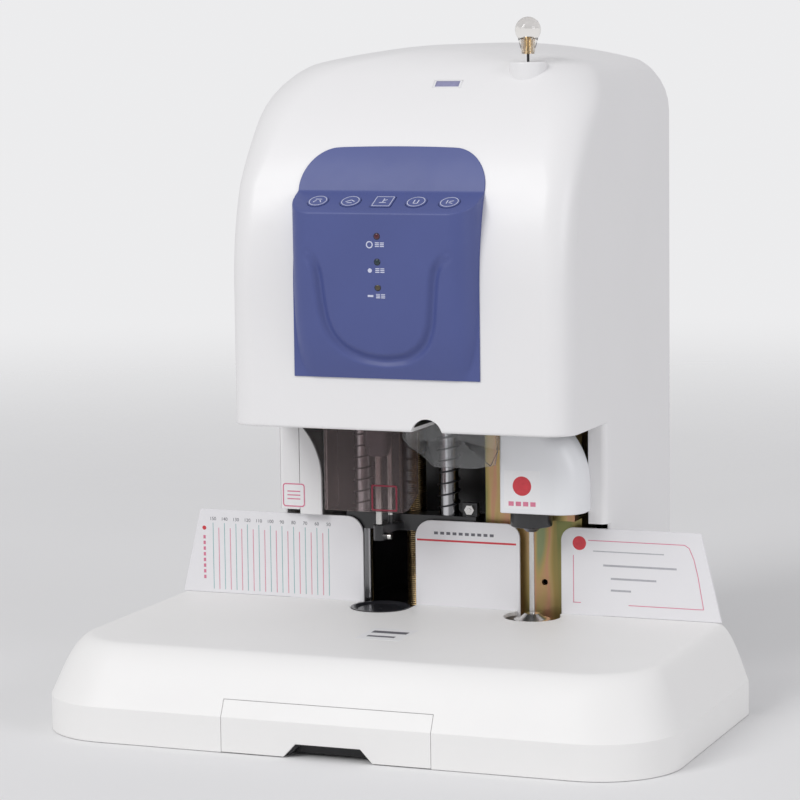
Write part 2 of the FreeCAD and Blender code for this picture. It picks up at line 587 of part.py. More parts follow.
# ---------------------------------------------------------------- steel structure
def structure():
    reach = BODY_HW - 17.5
    back = box(6 - reach, reach, FRAME_Y, FRAME_Y + 4, PLATE_Z, TOP_PLATE_Z)
    foot = box(POST_L - 13.6, POST_R + 17.1, FRAME_Y - 24, FRAME_Y, PLATE_Z, PLATE_Z + 4)
    save("back_plate", join([back, foot]))
    top = box(22 - reach, reach, 0, FRAME_Y + 4, TOP_PLATE_Z, MOTOR_Z)
    holes = [(POST_L, POST_Y, POST_NECK_R), (POST_R, POST_Y, POST_NECK_R), (RIVET_X, STATION_Y, 7.0),
             (RAM_SCREW_X, RAM_SCREW_Y, 5.0), (SCREW_X, SCREW_Y, 6.0)]
    for x, y, r in holes:
        top = top.cut(cyl(x, y, TOP_PLATE_Z - 1, MOTOR_Z + 1, r))
    save("top_plate", top)
    # anvil bracket under the drill: a shelf from the back plate to the pad
    low = SHELF_Z - 10
    arm = join([box(DRILL_X - 20, DRILL_X + 20, STATION_Y - 6, SHELF_Z, low, SHELF_Z),
                cyl(DRILL_X, STATION_Y, low, SHELF_Z, 24)])
    shelf = join([box(POST_L - 21.8, POST_R + 25.3, 42, FRAME_Y, low, SHELF_Z), arm])
    legs = [box(x, x + 6, 70, FRAME_Y, PLATE_Z, low) for x in (POST_L - 19.8, POST_R + 17.3)]
    bracket = join([shelf] + legs)
    for x in (POST_L, POST_R):
        bracket = bracket.cut(cyl(x, POST_Y, SHELF_Z - 6, SHELF_Z + 1, POST_RAD))
    bracket = bracket.cut(cyl(SCREW_X, SCREW_Y, SHELF_Z - 6, SHELF_Z + 1, 5 + FIT))
    save("anvil_bracket", bracket.cut(cyl(DRILL_X, STATION_Y, low - 1, SHELF_Z + 1, 7)))
    posts = [join([cyl(x, POST_Y, SHELF_Z - 6, TOP_PLATE_Z, POST_RAD),
                   cyl(x, POST_Y, TOP_PLATE_Z, MOTOR_Z, POST_NECK_R),
                   cyl(x, POST_Y, MOTOR_Z, MOTOR_Z + 6, 8.0)]) for x in (POST_L, POST_R)]
    save("guide_posts", group(posts))


structure()


def zinc_frame():
    left, right, front, wall = 32.0, 110.0, 48.0, 3.0
    web = box(left, right, front, front + 4, PLATE_Z, TOP_PLATE_Z)
    flanges = []
    for x in (left, right - wall):
        flanges.append(box(x, x + wall, front, FRAME_Y, PLATE_Z, SHELF_Z))
        flanges.append(box(x, x + wall, front, front + 36, SHELF_Z, TOP_PLATE_Z))
    arm = join([box(RIVET_X - 27, RIVET_X + 27, STATION_Y - 2, front + 2, ARM_Z - 8, ARM_Z),
                cyl(RIVET_X, STATION_Y, ARM_Z - 8, ARM_Z, 27)])
    rail = box(72, 85, front - 8, front, NOSE_BOT - 1, TOP_PLATE_Z - 8)
    footstep = box(RAM_SCREW_X - 9, right, RAM_SCREW_Y - 5.4, front + 0.5, NOSE_BOT - 9, NOSE_BOT - 1)
    frame = join([web] + flanges + [arm, rail, footstep])
    frame = frame.cut(cyl_y(79.8, 90.8, front - 8, front + 12, 2.4))
    save("rivet_frame", frame.cut(cyl(RIVET_X, STATION_Y, ARM_Z - 17, ARM_Z + 3, 9.0)))
    x, y, needle_r = RIVET_X, STATION_Y, 2.0
    die = join([cyl(x, y, ARM_Z - 13, ARM_Z, 9.0), cyl(x, y, ARM_Z, ARM_Z + 10, 14),
                cone(x, y, ARM_Z + 10, ARM_Z + 14.5, 11.0, 5.5)])
    die = die.cut(cyl(x, y, ARM_Z - 17, ARM_Z + 20, needle_r + FIT))
    die = die.cut(cyl(x, y, ARM_Z - 17, ARM_Z - 1, 5.0))
    cup = tube(x, y, 22, ARM_Z - 12.9, 7.5, 5.5).fuse(cyl(x, y, 20, 22, 7.5))
    save("lower_die", join([die, cup]))
    foot, point = ARM_Z - 11, NOSE_BOT - 3
    needle = join([cyl(x, y, foot, point, needle_r), cyl(x, y, foot, foot + 3, 4.6),
                   cone(x, y, point, point + 3, needle_r, 0.6)])
    save("die_needle", needle)
    save("needle_spring", coil(x, y, 22, foot, 3.8, 1.0, 5))


zinc_frame()


# ---------------------------------------------------------------- drilling unit
CARRIAGE_LOW, CARRIAGE_HIGH = 230.0, 262.0
BIT_R = 2.6


def drill_unit():
    x, y, low, high = DRILL_X, STATION_Y, CARRIAGE_LOW, CARRIAGE_HIGH
    block = join([box(POST_L - 13.8, POST_R + 17.3, 36, 82, low, high), box(x - 22, x + 22, y, 40, low, high),
                  cyl(x, y, low, high, 22)])
    for post in (POST_L, POST_R):
        block = block.cut(cyl(post, POST_Y, low - 1, high + 1, POST_RAD + 2.5))
    block = block.cut(cyl(SCREW_X, SCREW_Y, low - 1, high + 1, 11.0))
    block = block.cut(cyl(x, y, low - 1, high + 1, 6.0 + FIT))
    save("drill_carriage", block.cut(cyl(ROD_X, ROD_Y, low - 1, high + 1, ROD_RAD + FIT)))
    bush = [tube(post, POST_Y, low - 4, high + 4, POST_RAD + 2.5, POST_RAD + FIT)
            for post in (POST_L, POST_R)]
    nut = join([tube(SCREW_X, SCREW_Y, low, high + 6, 11.0, SCREW_RAD + FIT),
                tube(SCREW_X, SCREW_Y, high, high + 6, 15.0, SCREW_RAD + FIT)])
    save("carriage_bushes", group(bush + [nut]))
    save("lead_screw", join([cyl(SCREW_X, SCREW_Y, SHELF_Z - 5, SHELF_Z, 5.0),
                             cyl(SCREW_X, SCREW_Y, SHELF_Z, TOP_PLATE_Z - 6, SCREW_RAD),
                             cyl(SCREW_X, SCREW_Y, TOP_PLATE_Z - 6, MOTOR_Z + 2, 5.0)]))
    motor = join([cyl(SCREW_X, SCREW_Y, MOTOR_Z + 12, MOTOR_Z + 58, 21),
                  cyl(SCREW_X, SCREW_Y, MOTOR_Z, MOTOR_Z + 12, 24),
                  box(SCREW_X - 24, SCREW_X + 24, SCREW_Y - 24, SCREW_Y + 24, MOTOR_Z, MOTOR_Z + 5)])
    save("lift_motor", motor.cut(cyl(SCREW_X, SCREW_Y, MOTOR_Z - 1, MOTOR_Z + 3, 5.2)))
    motor = join([cyl(x, y, high, high + 74, 21.5), cyl(x, y, high + 74, high + 78, 12)])
    save("drill_motor", motor.cut(cyl(x, y, high - 1, high + 6, 6.3)))
    jaw, nose_z = low - 16, low - 42
    chuck = join([cyl(x, y, jaw, high + 5, 6.0), cyl(x, y, nose_z + 8, jaw, 10.4),
                  cone(x, y, nose_z, nose_z + 8, 7.5, 10.4)])
    save("drill_chuck", chuck.cut(cyl(x, y, nose_z - 8, jaw - 4, BIT_R)))
    edge = 132.7
    bit = cyl(x, y, edge + 1.5, jaw - 4, BIT_R).fuse(cone(x, y, edge, edge + 1.5, BIT_R - 0.5, BIT_R))
    save("hollow_bit", bit.cut(cyl(x, y, edge - 1, nose_z - 2, 1.7)))


drill_unit()


def presser():
    x, y, low, high = DRILL_X, STATION_Y, 126.7, 139.6
    plate = box(POST_L - 11.8, POST_R + 25.3, 42, 62, low, high)
    lug = box(NUT_X - 6.5, NUT_X + 5.5, NUT_Y, 50, high - 1, NUT_Z + 5)
    # slim sleeve round the bit, on an arm that widens and rises to the plate
    sleeve_r, sleeve_low, sleeve_high = 4.5, low - 5, low + 6.8
    sleeve = cyl(x, y, sleeve_low, sleeve_high, sleeve_r)
    arm = prism_z([(x - sleeve_r, y), (x + sleeve_r, y), (x + 13.2, 44), (x - 7, 44)], low - 1, sleeve_high)
    under_arm = [(y - 1, low - 2), (45, low - 2), (45, low + 2.5), (y - 1, low - 0.8)]
    arm = arm.cut(prism_x(under_arm, x - 30, x + 30))
    clamp = cyl_x(y, low - 1.9, x, x + 7.3, 3.0)
    body = join([plate, lug, arm, sleeve, clamp])
    for post in (POST_L, POST_R):
        body = body.cut(cyl(post, POST_Y, low - 20, high + 20, POST_RAD + FIT))
    body = body.cut(cyl(x, y, low - 20, high + 20, BIT_R + 0.4))
    body = body.cut(cyl(SCREW_X, SCREW_Y, low - 20, high + 20, SCREW_RAD + 1.0))
    body = body.cut(cyl_y(NUT_X, NUT_Z, 40, 52, 1.6))
    body = body.cut(cyl_x(y, low - 1.9, x + BIT_R + 1, x + 8, 1.4))
    save("presser_foot", body.fuse(cyl(ROD_X, ROD_Y, low + 2.4, CARRIAGE_LOW + 10, ROD_RAD)))
    screw = join([cyl_x(y, low - 1.9, x + 4, x + 7.3, 1.4), cyl_x(y, low - 1.9, x + 7.3, x + 10.1, 2.6)])
    nut = hex_y(NUT_X, NUT_Z, NUT_Y - 3.2, NUT_Y, 7.0).fuse(cyl_y(NUT_X, NUT_Z, NUT_Y - 3.6, 50, 1.6))
    save("presser_fasteners", group([screw, nut]))
    save("post_springs", group([coil(post, POST_Y, high, CARRIAGE_LOW - 4, POST_RAD + 1.1, 1.2, 9.5)
                                for post in (POST_L, POST_R)]))


presser()


def pad():
    x, y, seat, r = DRILL_X, STATION_Y, SHELF_Z + 4, 17.5
    cup = cyl(x, y, SHELF_Z, TABLE_Z + 0.6, 23.0).cut(cyl(x, y, seat, TABLE_Z + 11, r))
    cup = cup.cut(cone(x, y, TABLE_Z - 2.5, TABLE_Z + 0.7, r, 21.5))
    save("drill_pad", cup.cut(cyl(x, y, SHELF_Z - 1, seat + 1, 7)))
    save("cutting_disc", tube(x, y, seat, TABLE_Z - 1, r - FIT, 1.2))


pad()


# ---------------------------------------------------------------- riveting unit
def ram_unit():
    x, y, low, r = RIVET_X, STATION_Y, RAM_BOT, RAM_RAD
    bore, chamfer, slide_z = 5.0, 0.5, RAM_TOP - 22
    head = join([cone(x, y, low, low + chamfer, r - chamfer, r), cyl(x, y, low + chamfer, RAM_TOP, r),
                 box(x - r, x + r, y, y + r, slide_z, RAM_TOP)])
    save("rivet_head", head.cut(cyl(x, y, low - 9, RAM_TOP + 8, bore)))
    tip = join([cone(x, y, TIP_Z, low, TIP_R, 8.5), cyl(x, y, low, low + 11, bore)])
    save("rivet_tip", tip.cut(cyl(x, y, TIP_Z - 4, low + 21, 2.6)))
    save("ram_sleeve", tube(x, y, RAM_TOP - 27, TOP_PLATE_Z - 44, bore, 3.2))
    slide = box(60, 108, y + r, 47.6, slide_z, RAM_TOP + 30)
    slide = slide.cut(box(72 - FIT, 85 + FIT, 40 - FIT, 48, slide_z - 20, RAM_TOP + 38))
    x, y, r = RAM_SCREW_X, RAM_SCREW_Y, RAM_SCREW_RAD
    slide = slide.fuse(cyl(x, y, slide_z + 4, slide_z + 36, r + 1.2))
    save("ram_slide", slide.cut(cyl(x, y, slide_z - 20, RAM_TOP + 38, r + FIT)))
    save("ram_screw", join([cyl(x, y, NOSE_BOT - 0.9, TOP_PLATE_Z - 4, r),
                            cyl(x, y, TOP_PLATE_Z - 4, MOTOR_Z + 3, 3.5)]))
    motor = join([cyl(x, y, MOTOR_Z + 8, MOTOR_Z + 51, 16.5), cyl(x, y, MOTOR_Z, MOTOR_Z + 8, 14)])
    save("ram_motor", motor.cut(cyl(x, y, MOTOR_Z - 1, MOTOR_Z + 4, 3.7)))


ram_unit()


def tube_feed():
    x, y, top, bore = RIVET_X, STATION_Y, INLET_TOP, 5.0 + FIT
    seat, guide_r = top - 5.3, 6.8
    guide = tube(x, y, TOP_PLATE_Z - 108, seat, guide_r, bore)
    guide = guide.fuse(tube(x, y, MOTOR_Z, MOTOR_Z + 4, 10.0, bore))
    save("tube_guide", guide.removeSplitter())
    # liner of the boss, with a small lead-in round the rod
    liner = tube(x, y, top - 15, top, 9.0, bore)
    save("tube_inlet", liner.cut(cyl(x, y, top - 16, seat, guide_r)).cut(cone(x, y, top - 2, top, bore, 6.3)))
    collar, rod_r, rod_top = TOP_PLATE_Z - 43.8, 1.0, HEAD_TOP + 0.5
    save("pusher_rod", cyl(x, y, collar, rod_top, rod_r).fuse(cyl(x, y, collar, collar + 7.8, 4.6)))
    low, insert_top, insert_r = FERRULE_Z, HEAD_TOP + 6.5, 3.6
    ferrule = tube(x, y, low, insert_top, insert_r, rod_r)
    save("pusher_ferrule", ferrule.cut(cyl(x, y, rod_top, insert_top + 1, 2.3)))
    # pear shape: a ball on a slim cone
    waist = KNOB_Z - 5.9
    waist_r = math.sqrt(KNOB_R ** 2 - (KNOB_Z - waist) ** 2)
    ball = Part.makeSphere(KNOB_R, V(x, y, KNOB_Z)).cut(cyl(x, y, waist - 20, waist, KNOB_R + 2))
    knob = join([ball, cone(x, y, low, waist, insert_r + 1.0, waist_r)])
    save("pusher_knob", knob.cut(cyl(x, y, low - 5, insert_top, insert_r)))


tube_feed()


# ---------------------------------------------------------------- rear panel and electrics
def rear():
    hw = BODY_HW - SHELL - 2 * GAP
    face = REAR_Y - 2.0
    slab = box(-hw, hw, face - 2, face, HEAD_BOT + 5, HEAD_TOP)
    plate = head_form(SHELL + 2 * GAP, 2).common(slab)
    plate = plate.fuse(box(-hw, hw, face - 2, face, TABLE_Z + SHELL, HEAD_BOT + 6)).removeSplitter()
    for z in (250, 320):
        for i in range(12):
            x = -66 + 12 * i
            plate = plate.cut(box(x - 1.6, x + 1.6, face - 4, face + 3, z, z + 46))
    # inlet for a detachable power lead: opening in the panel, flange, body, shaped cavity and pins
    x, z, w, h = -87.4, 106.9, 13.5, 9.9
    plate = plate.cut(box(x - w - 0.1, x + w + 0.1, face - 4, face + 3, z - h - 0.1, z + h + 0.1))
    inlet = join([box(x - 19.2, x + 19.2, face, face + 1.8, z - 12.7, z + 12.7),
                  box(x - w, x + w, face - 22, face, z - h, z + h)])
    half, low, bevel_z, top = 11.7, z - 8.1, z + 3.5, z + 8.1
    cavity = [(x - half, low), (x + half, low), (x + half, bevel_z), (x + 7, top), (x - 7, top),
              (x - half, bevel_z)]
    inlet = inlet.cut(prism_y(cavity, face - 16, REAR_Y + 1))
    pins = [box(px - 1.0, px + 1.0, face - 17, face - 3, pz - 2, pz + 2) for px, pz in
            ((x - 7, z - 2.7), (x + 7, z - 2.7), (x, z + 2.3))]
    save("power_inlet", join([inlet] + pins))
    # rocker switch
    x, z, w, h = -48.0, 106.5, 10.9, 13.9
    axle_y, axle_r = face - 4.5, 1.5
    plate = plate.cut(box(x - w - 0.1, x + w + 0.1, face - 4, face + 3, z - h - 0.1, z + h + 0.1))
    switch = join([box(x - 13.5, x + 13.5, face, face + 1.4, z - 16.5, z + 16.5),
                   box(x - w, x + w, face - 20, face, z - h, z + h)])
    switch = switch.cut(box(x - 8.5, x + 8.5, face - 12, face + 3, z - 11.5, z + 11.5))
    save("switch_frame", switch.cut(cyl_x(axle_y, z, x - 9.7, x + 9.7, axle_r + FIT)))
    rocker = prism_x([(face - 6, z - 9.9), (face + 1.7, z - 9.9), (face + 0.1, z), (face - 2.4, z + 9.9),
                      (face - 6, z + 9.9)], x - 8.2, x + 8.2)
    save("switch_rocker", rocker.fuse(cyl_x(axle_y, z, x - 9.6, x + 9.6, axle_r)))
    # fuse holder
    x, z = -16.0, 107.0
    plate = plate.cut(cyl_y(x, z, face - 4, face + 3, 6.3))
    fuse = join([cyl_y(x, z, face - 24, face, 6.2), cyl_y(x, z, face, face + 1.1, 8.5)])
    save("fuse_holder", fuse.cut(box(x - 4, x + 4, face + 0.1, face + 3, z - 0.7, z + 0.7)))
    save("rear_panel", plate.cut(screw_holes()))
    save("power_supply", box(-104, -34, FRAME_Y + 6, REAR_Y - 30, PLATE_Z, 84))
    core = box(28, 98, FRAME_Y + 5, FRAME_Y + 31, PLATE_Z, PLATE_Z + 60)
    winding = plan_prism(38, 88, FRAME_Y + 4.2, FRAME_Y + 44, PLATE_Z + 12, PLATE_Z + 48, 5, 5)
    save("transformer", join([core, winding]))


rear()


def fasteners():
    r, face = REAR_SCREW_R, REAR_Y - 2
    screws = [join([cyl_y(x, z, face, face + 1.6, 2.1 * r), cyl_y(x, z, face - 4.9, face, r)])
              for x, z in REAR_SCREWS]
    save("rear_screws", group(screws))


fasteners()
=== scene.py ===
import bpy
from math import acos, atan2, cos, degrees, dist, exp, hypot, pi, radians, sin, sqrt
from mathutils import Matrix, Vector


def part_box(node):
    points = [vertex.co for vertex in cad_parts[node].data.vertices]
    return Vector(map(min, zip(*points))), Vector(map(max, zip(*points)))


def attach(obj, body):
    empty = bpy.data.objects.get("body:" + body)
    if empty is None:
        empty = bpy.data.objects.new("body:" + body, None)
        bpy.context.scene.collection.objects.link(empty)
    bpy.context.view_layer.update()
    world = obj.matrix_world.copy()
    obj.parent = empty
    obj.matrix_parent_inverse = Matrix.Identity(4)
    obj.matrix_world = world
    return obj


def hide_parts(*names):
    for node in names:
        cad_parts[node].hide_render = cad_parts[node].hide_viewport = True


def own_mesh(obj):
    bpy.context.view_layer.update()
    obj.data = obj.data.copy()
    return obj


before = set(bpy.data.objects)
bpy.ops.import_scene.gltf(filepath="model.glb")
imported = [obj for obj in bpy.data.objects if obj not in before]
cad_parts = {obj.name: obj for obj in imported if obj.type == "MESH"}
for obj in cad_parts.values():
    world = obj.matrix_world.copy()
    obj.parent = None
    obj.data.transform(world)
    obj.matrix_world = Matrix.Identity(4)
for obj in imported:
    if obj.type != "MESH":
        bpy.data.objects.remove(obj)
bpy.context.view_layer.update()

MM = 0.001              # lengths are in millimetres; those of materials, fade and lamps are in metres


def mm_box(node):
    low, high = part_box(node)
    return low / MM, high / MM


# ---- sizes taken from the solids
TRAY_LO, TRAY_HI = mm_box("base_shell")
HEAD_LO, HEAD_HI = mm_box("head_cover")
GUIDE_LO, GUIDE_HI = mm_box("paper_guide")
PANEL_LO, PANEL_HI = mm_box("control_panel")
NOSE_LO, NOSE_HI = mm_box("nose_cover")
CHEEK_LO, CHEEK_HI = mm_box("neck_cheek")
DRAWER_LO, DRAWER_HI = mm_box("drawer_front")
GUARD_LO, GUARD_HI = mm_box("smoked_guard")
SCREW_LO, SCREW_HI = mm_box("lead_screw")
SPRING_LO, SPRING_HI = mm_box("post_springs")
DIE_LO, DIE_HI = mm_box("lower_die")
PAD_LO, PAD_HI = mm_box("drill_pad")
FERRULE_TOP = mm_box("pusher_ferrule")[1].z
INLET_LO, INLET_HI = mm_box("tube_inlet")
LAMPS_LO, LAMPS_HI = mm_box("lamp_lenses")

TABLE_Z = TRAY_HI.z
TRAY_REAR = 40.5
SHELL = 3.0             # wall of the moulded covers
HEAD_BOT = 218.5
HEAD_TOP = HEAD_HI.z + 0.06     # where the front's arcs end, a hair above the solid
NECK_FRONT = 30.5
NECK_BOT = 141.0
LEG_FRONT = 42.0
DRILL = Vector(((PAD_LO.x + PAD_HI.x) / 2, (PAD_LO.y + PAD_HI.y) / 2, TABLE_Z))
RIVET = Vector(((DIE_LO.x + DIE_HI.x) / 2, (DIE_LO.y + DIE_HI.y) / 2, TABLE_Z))
PANEL_X = (PANEL_LO.x + PANEL_HI.x) / 2
PANEL_HW = (PANEL_HI.x - PANEL_LO.x) / 2

def add_object(name, data):
    obj = bpy.data.objects.new(name, data)
    bpy.context.scene.collection.objects.link(obj)
    return obj


# ---- camera of the photograph
CAM_TARGET = Vector((-34.43, 38.5, 229.35)) * MM
CAM_DISTANCE = 2395.55 * MM
CAM_AZ, CAM_EL, CAM_ROLL = 0.37687, 0.12171, -0.012476     # radians
CAM_LENS = 139.14


def add_camera():
    data = bpy.data.cameras.new("camera")
    data.lens = CAM_LENS
    data.sensor_width = 36.0
    level = cos(CAM_EL)
    forward = Vector((-sin(CAM_AZ) * level, cos(CAM_AZ) * level, -sin(CAM_EL)))
    right = Vector((cos(CAM_AZ), sin(CAM_AZ), 0.0))
    up = right.cross(forward)
    right_r = right * cos(CAM_ROLL) + up * sin(CAM_ROLL)
    up_r = up * cos(CAM_ROLL) - right * sin(CAM_ROLL)
    camera = add_object("camera", data)
    camera.matrix_world = Matrix.Translation(CAM_TARGET - forward * CAM_DISTANCE) @ Matrix(
        (right_r, up_r, -forward)).transposed().to_4x4()
    bpy.context.scene.camera = camera


# ---- materials
class Tree:
    """Short hand for a node tree."""

    def __init__(self, tree):
        self.tree = tree

    def feed(self, node, inputs):
        """Set or link a node's inputs, each given by name or place."""
        for name, value in inputs.items():
            if isinstance(value, bpy.types.NodeSocket):
                self.tree.links.new(value, node.inputs[name])
            else:
                node.inputs[name].default_value = value

    def add(self, kind, inputs=None, **values):
        node = self.tree.nodes.new(kind)
        for key, value in values.items():
            setattr(node, key, value)
        self.feed(node, inputs or {})
        return node

    def blend(self, output, share, first, second):
        """Mix two shaders into the tree's output."""
        mixed = self.add("ShaderNodeMixShader", {0: share, 1: first, 2: second})
        self.feed(self.tree.nodes[output], {"Surface": mixed.outputs["Shader"]})


class Nodes(Tree):
    """Node tree of one material."""

    def __init__(self, name):
        self.mat = bpy.data.materials.new(name)
        self.mat.use_nodes = True
        super().__init__(self.mat.node_tree)
        self.bsdf = self.tree.nodes["Principled BSDF"]
        self.coords = self.add("ShaderNodeTexCoord").outputs["Object"]

    def noise(self, scale, detail=3.0, stretch=None, distortion=0.0):
        coords = self.coords
        if stretch:
            coords = self.add("ShaderNodeMapping", {"Vector": coords, "Scale": stretch}).outputs["Vector"]
        return self.add("ShaderNodeTexNoise", {"Vector": coords, "Scale": scale, "Detail": detail,
                                               "Distortion": distortion}).outputs["Fac"]

    def ramp(self, fac, stops):
        node = self.add("ShaderNodeValToRGB", {"Fac": fac})
        elements = node.color_ramp.elements
        while len(elements) < len(stops):
            elements.new(0.5)
        for element, (place, colour) in zip(elements, stops):
            element.position = place
            element.color = (*colour, 1.0)
        return node.outputs["Color"]

    def mottled(self, fac, colour, spread, edge=0.3):
        """A colour that wanders a little darker and lighter."""
        darker, lighter = scaled(colour, 1 - spread), scaled(colour, 1 + spread)
        return self.ramp(fac, ((edge, darker), (1 - edge, lighter)))

    def span(self, fac, low, high):
        return self.add("ShaderNodeMapRange", {"Value": fac, "To Min": low, "To Max": high}).outputs["Result"]

    def bump(self, height, distance, strength=1.0, edge=0.0):
        node = self.add("ShaderNodeBump", {"Height": height, "Strength": strength, "Distance": distance})
        if edge > 0:
            bevel = self.add("ShaderNodeBevel", {"Radius": edge}, samples=4)
            self.feed(node, {"Normal": bevel.outputs["Normal"]})
        self.feed(self.bsdf, {"Normal": node.outputs["Normal"]})

    def surface(self, inputs):
        self.feed(self.bsdf, inputs)
        return self.mat


def scaled(colour, factor):
    return tuple(min(1.0, c * factor) for c in colour)


def plastic(name, colour, rough=0.42, mottle=0.03, grain=0.00004, edge=0.0005, coat=0.0):
    """Moulded plastic: faint mottling, fine grain, softened edges."""
    n = Nodes(name)
    n.bump(n.noise(1500.0, 2.0), grain, 0.5, edge)
    return n.surface({"Base Color": n.mottled(n.noise(14.0, 4.0), colour, mottle),
                      "Roughness": n.span(n.noise(55.0, 2.0), rough - 0.05, rough + 0.05),
                      "Coat Weight": coat, "Coat Roughness": 0.2})


def metal(name, colour, rough=0.3, stretch=(1.0, 1.0, 1.0), scale=220.0, mottle=0.12):
    """Metal with machining marks that run along the axis with the small stretch."""
    n = Nodes(name)
    marks = n.noise(scale, 5.0, stretch)
    n.bump(marks, 0.00003, 0.4, 0.0003)
    return n.surface({"Base Color": n.mottled(marks, colour, mottle, 0.25), "Metallic": 1.0,
                      "Roughness": n.span(n.noise(scale * 0.4, 3.0, stretch), rough * 0.75, rough * 1.3)})


def polished():
    """Hard chromed round bar: painted reflections, bright and dark bands that run along it, set in its colour
    by which way the surface faces.
    """
    n = Nodes("polished_steel_painted_reflections")
    normal = n.tree.nodes["Texture Coordinate"].outputs["Normal"]
    facing = n.add("ShaderNodeSeparateXYZ", {"Vector": normal})
    turn = n.add("ShaderNodeMapRange", {"Value": facing.outputs["X"], "From Min": -1.0})
    # painted reflections: light and dark bands picked by the surface's facing, standing in for what the
    # surroundings would mirror
    reflection_bands = ((0.05, 0.10), (0.30, 0.13), (0.41, 0.60), (0.58, 0.66), (0.68, 0.24), (0.82, 0.20),
               (0.90, 0.58), (0.985, 0.08))
    tone = n.ramp(turn.outputs["Result"], [(place, (v, v, v * 1.03)) for place, v in reflection_bands])
    marks = n.noise(260.0, 5.0, (1.0, 1.0, 0.08))
    n.bump(marks, 0.00003, 0.4, 0.0003)
    return n.surface({"Base Color": tone, "Metallic": 1.0, "Roughness": n.span(marks, 0.14, 0.24)})


def zinc():
    """Yellow passivated zinc: gold drifting into olive, green and pink."""
    n = Nodes("yellow_zinc")
    drift = n.noise(20.0, 2.2, (2.2, 1.0, 0.28), 0.7)
    tone = n.ramp(drift, ((0.32, (0.24, 0.25, 0.10)), (0.42, (0.42, 0.31, 0.12)),
                          (0.49, (0.52, 0.37, 0.17)), (0.56, (0.56, 0.30, 0.19)),
                          (0.63, (0.46, 0.34, 0.14)), (0.72, (0.26, 0.30, 0.16))))
    n.bump(n.noise(700.0, 3.0), 0.00004, 0.5, 0.0004)
    return n.surface({"Base Color": tone, "Metallic": 0.85,
                      "Roughness": n.span(n.noise(90.0, 4.0), 0.26, 0.46)})


def clear(name, colour, rough=0.04, ior=1.49, haze=0.0):
    """Clear or tinted sheet with faint handling haze."""
    n = Nodes(name)
    n.bump(n.noise(60.0, 2.0), 0.00003, 0.3)
    return n.surface({"Base Color": n.mottled(n.noise(30.0, 3.0), colour, 0.03), "IOR": ior,
                      "Transmission Weight": 1.0 - haze,
                      "Roughness": n.span(n.noise(120.0, 4.0), rough, rough + 0.06)})


def ink(name, colour, uneven=0.08):
    """Printed ink with a slightly uneven tone."""
    n = Nodes(name)
    return n.surface({"Base Color": n.mottled(n.noise(300.0, 2.0), colour, uneven), "Roughness": 0.5})


def board(name):
    """Circuit board: green lacquer with darker tracks."""
    n = Nodes(name)
    tracks = n.noise(180.0, 1.0, (1.0, 1.0, 6.0))
    n.bump(tracks, 0.00005, 0.6)
    tone = n.ramp(tracks, ((0.45, (0.02, 0.16, 0.06)), (0.5, (0.04, 0.26, 0.10))))
    return n.surface({"Base Color": tone, "Roughness": 0.3})


WHITE = plastic("cover_white", (0.815, 0.81, 0.815), 0.42, 0.006, coat=0.12)
TABLE = plastic("table_white", (0.85, 0.845, 0.835), 0.50, 0.008, 0.00006)
NOSE_WHITE = plastic("nose_white", (0.80, 0.81, 0.83), 0.36, 0.006, coat=0.2)
GUIDE_WHITE = plastic("guide_white", (0.79, 0.785, 0.805), 0.42, 0.008, 0.00002)
BLUE = plastic("panel_blue", (0.068, 0.090, 0.268), 0.49, 0.04, 0.00003, coat=0.05)
KEY_BLUE = plastic("key_blue", (0.078, 0.10, 0.275), 0.40, 0.04, 0.00002)
BLACK = plastic("black_plastic", (0.018, 0.018, 0.020), 0.45, 0.2)
PAD_BLACK = plastic("pad_nylon", (0.022, 0.022, 0.027), 0.30, 0.25, coat=0.3)
CASTING = plastic("black_casting", (0.014, 0.014, 0.016), 0.30, 0.3, 0.00008, coat=0.5)
INNER_BLACK = plastic("inner_black", (0.016, 0.015, 0.016), 0.24, 0.3, 0.00006, coat=0.6)
RUBBER = plastic("foot_rubber", (0.025, 0.025, 0.025), 0.8, 0.2)
REAR_PAINT = plastic("rear_paint", (0.60, 0.60, 0.60), 0.5, 0.03, 0.00012)
GREY_PAINT = plastic("inner_paint", (0.22, 0.22, 0.23), 0.5, 0.1, 0.0001)
ROCKER_RED = plastic("rocker_red", (0.42, 0.02, 0.02), 0.3, 0.05, coat=0.4)
CHROME_PAINTED_REFLECTIONS = polished()
BRIGHT = metal("ground_steel", (0.66, 0.65, 0.63), 0.24, (1.0, 1.0, 0.2))
DARK_STEEL = metal("dark_steel", (0.20, 0.20, 0.22), 0.35, (1.0, 1.0, 0.3))
SPRING = metal("spring_wire", (0.10, 0.10, 0.11), 0.38)
# dark brass for the thread's valleys: painted shade
SCREW_VALLEY_SHADE = metal("screw_groove_painted_shade", (0.10, 0.07, 0.04), 0.4)
SCREW_BRASS = metal("screw_brass", (0.62, 0.46, 0.24), 0.26, (1.0, 1.0, 4.0), 160.0, 0.25)
FERRULE_BRASS = metal("ferrule_brass", (0.66, 0.47, 0.22), 0.22, (1.0, 1.0, 6.0))
ALUMINIUM = metal("aluminium", (0.70, 0.71, 0.72), 0.32, (1.0, 1.0, 0.1))
ZINC = zinc()
SMOKED = clear("smoked_sheet", (0.50, 0.42, 0.42), ior=1.2, haze=0.09)
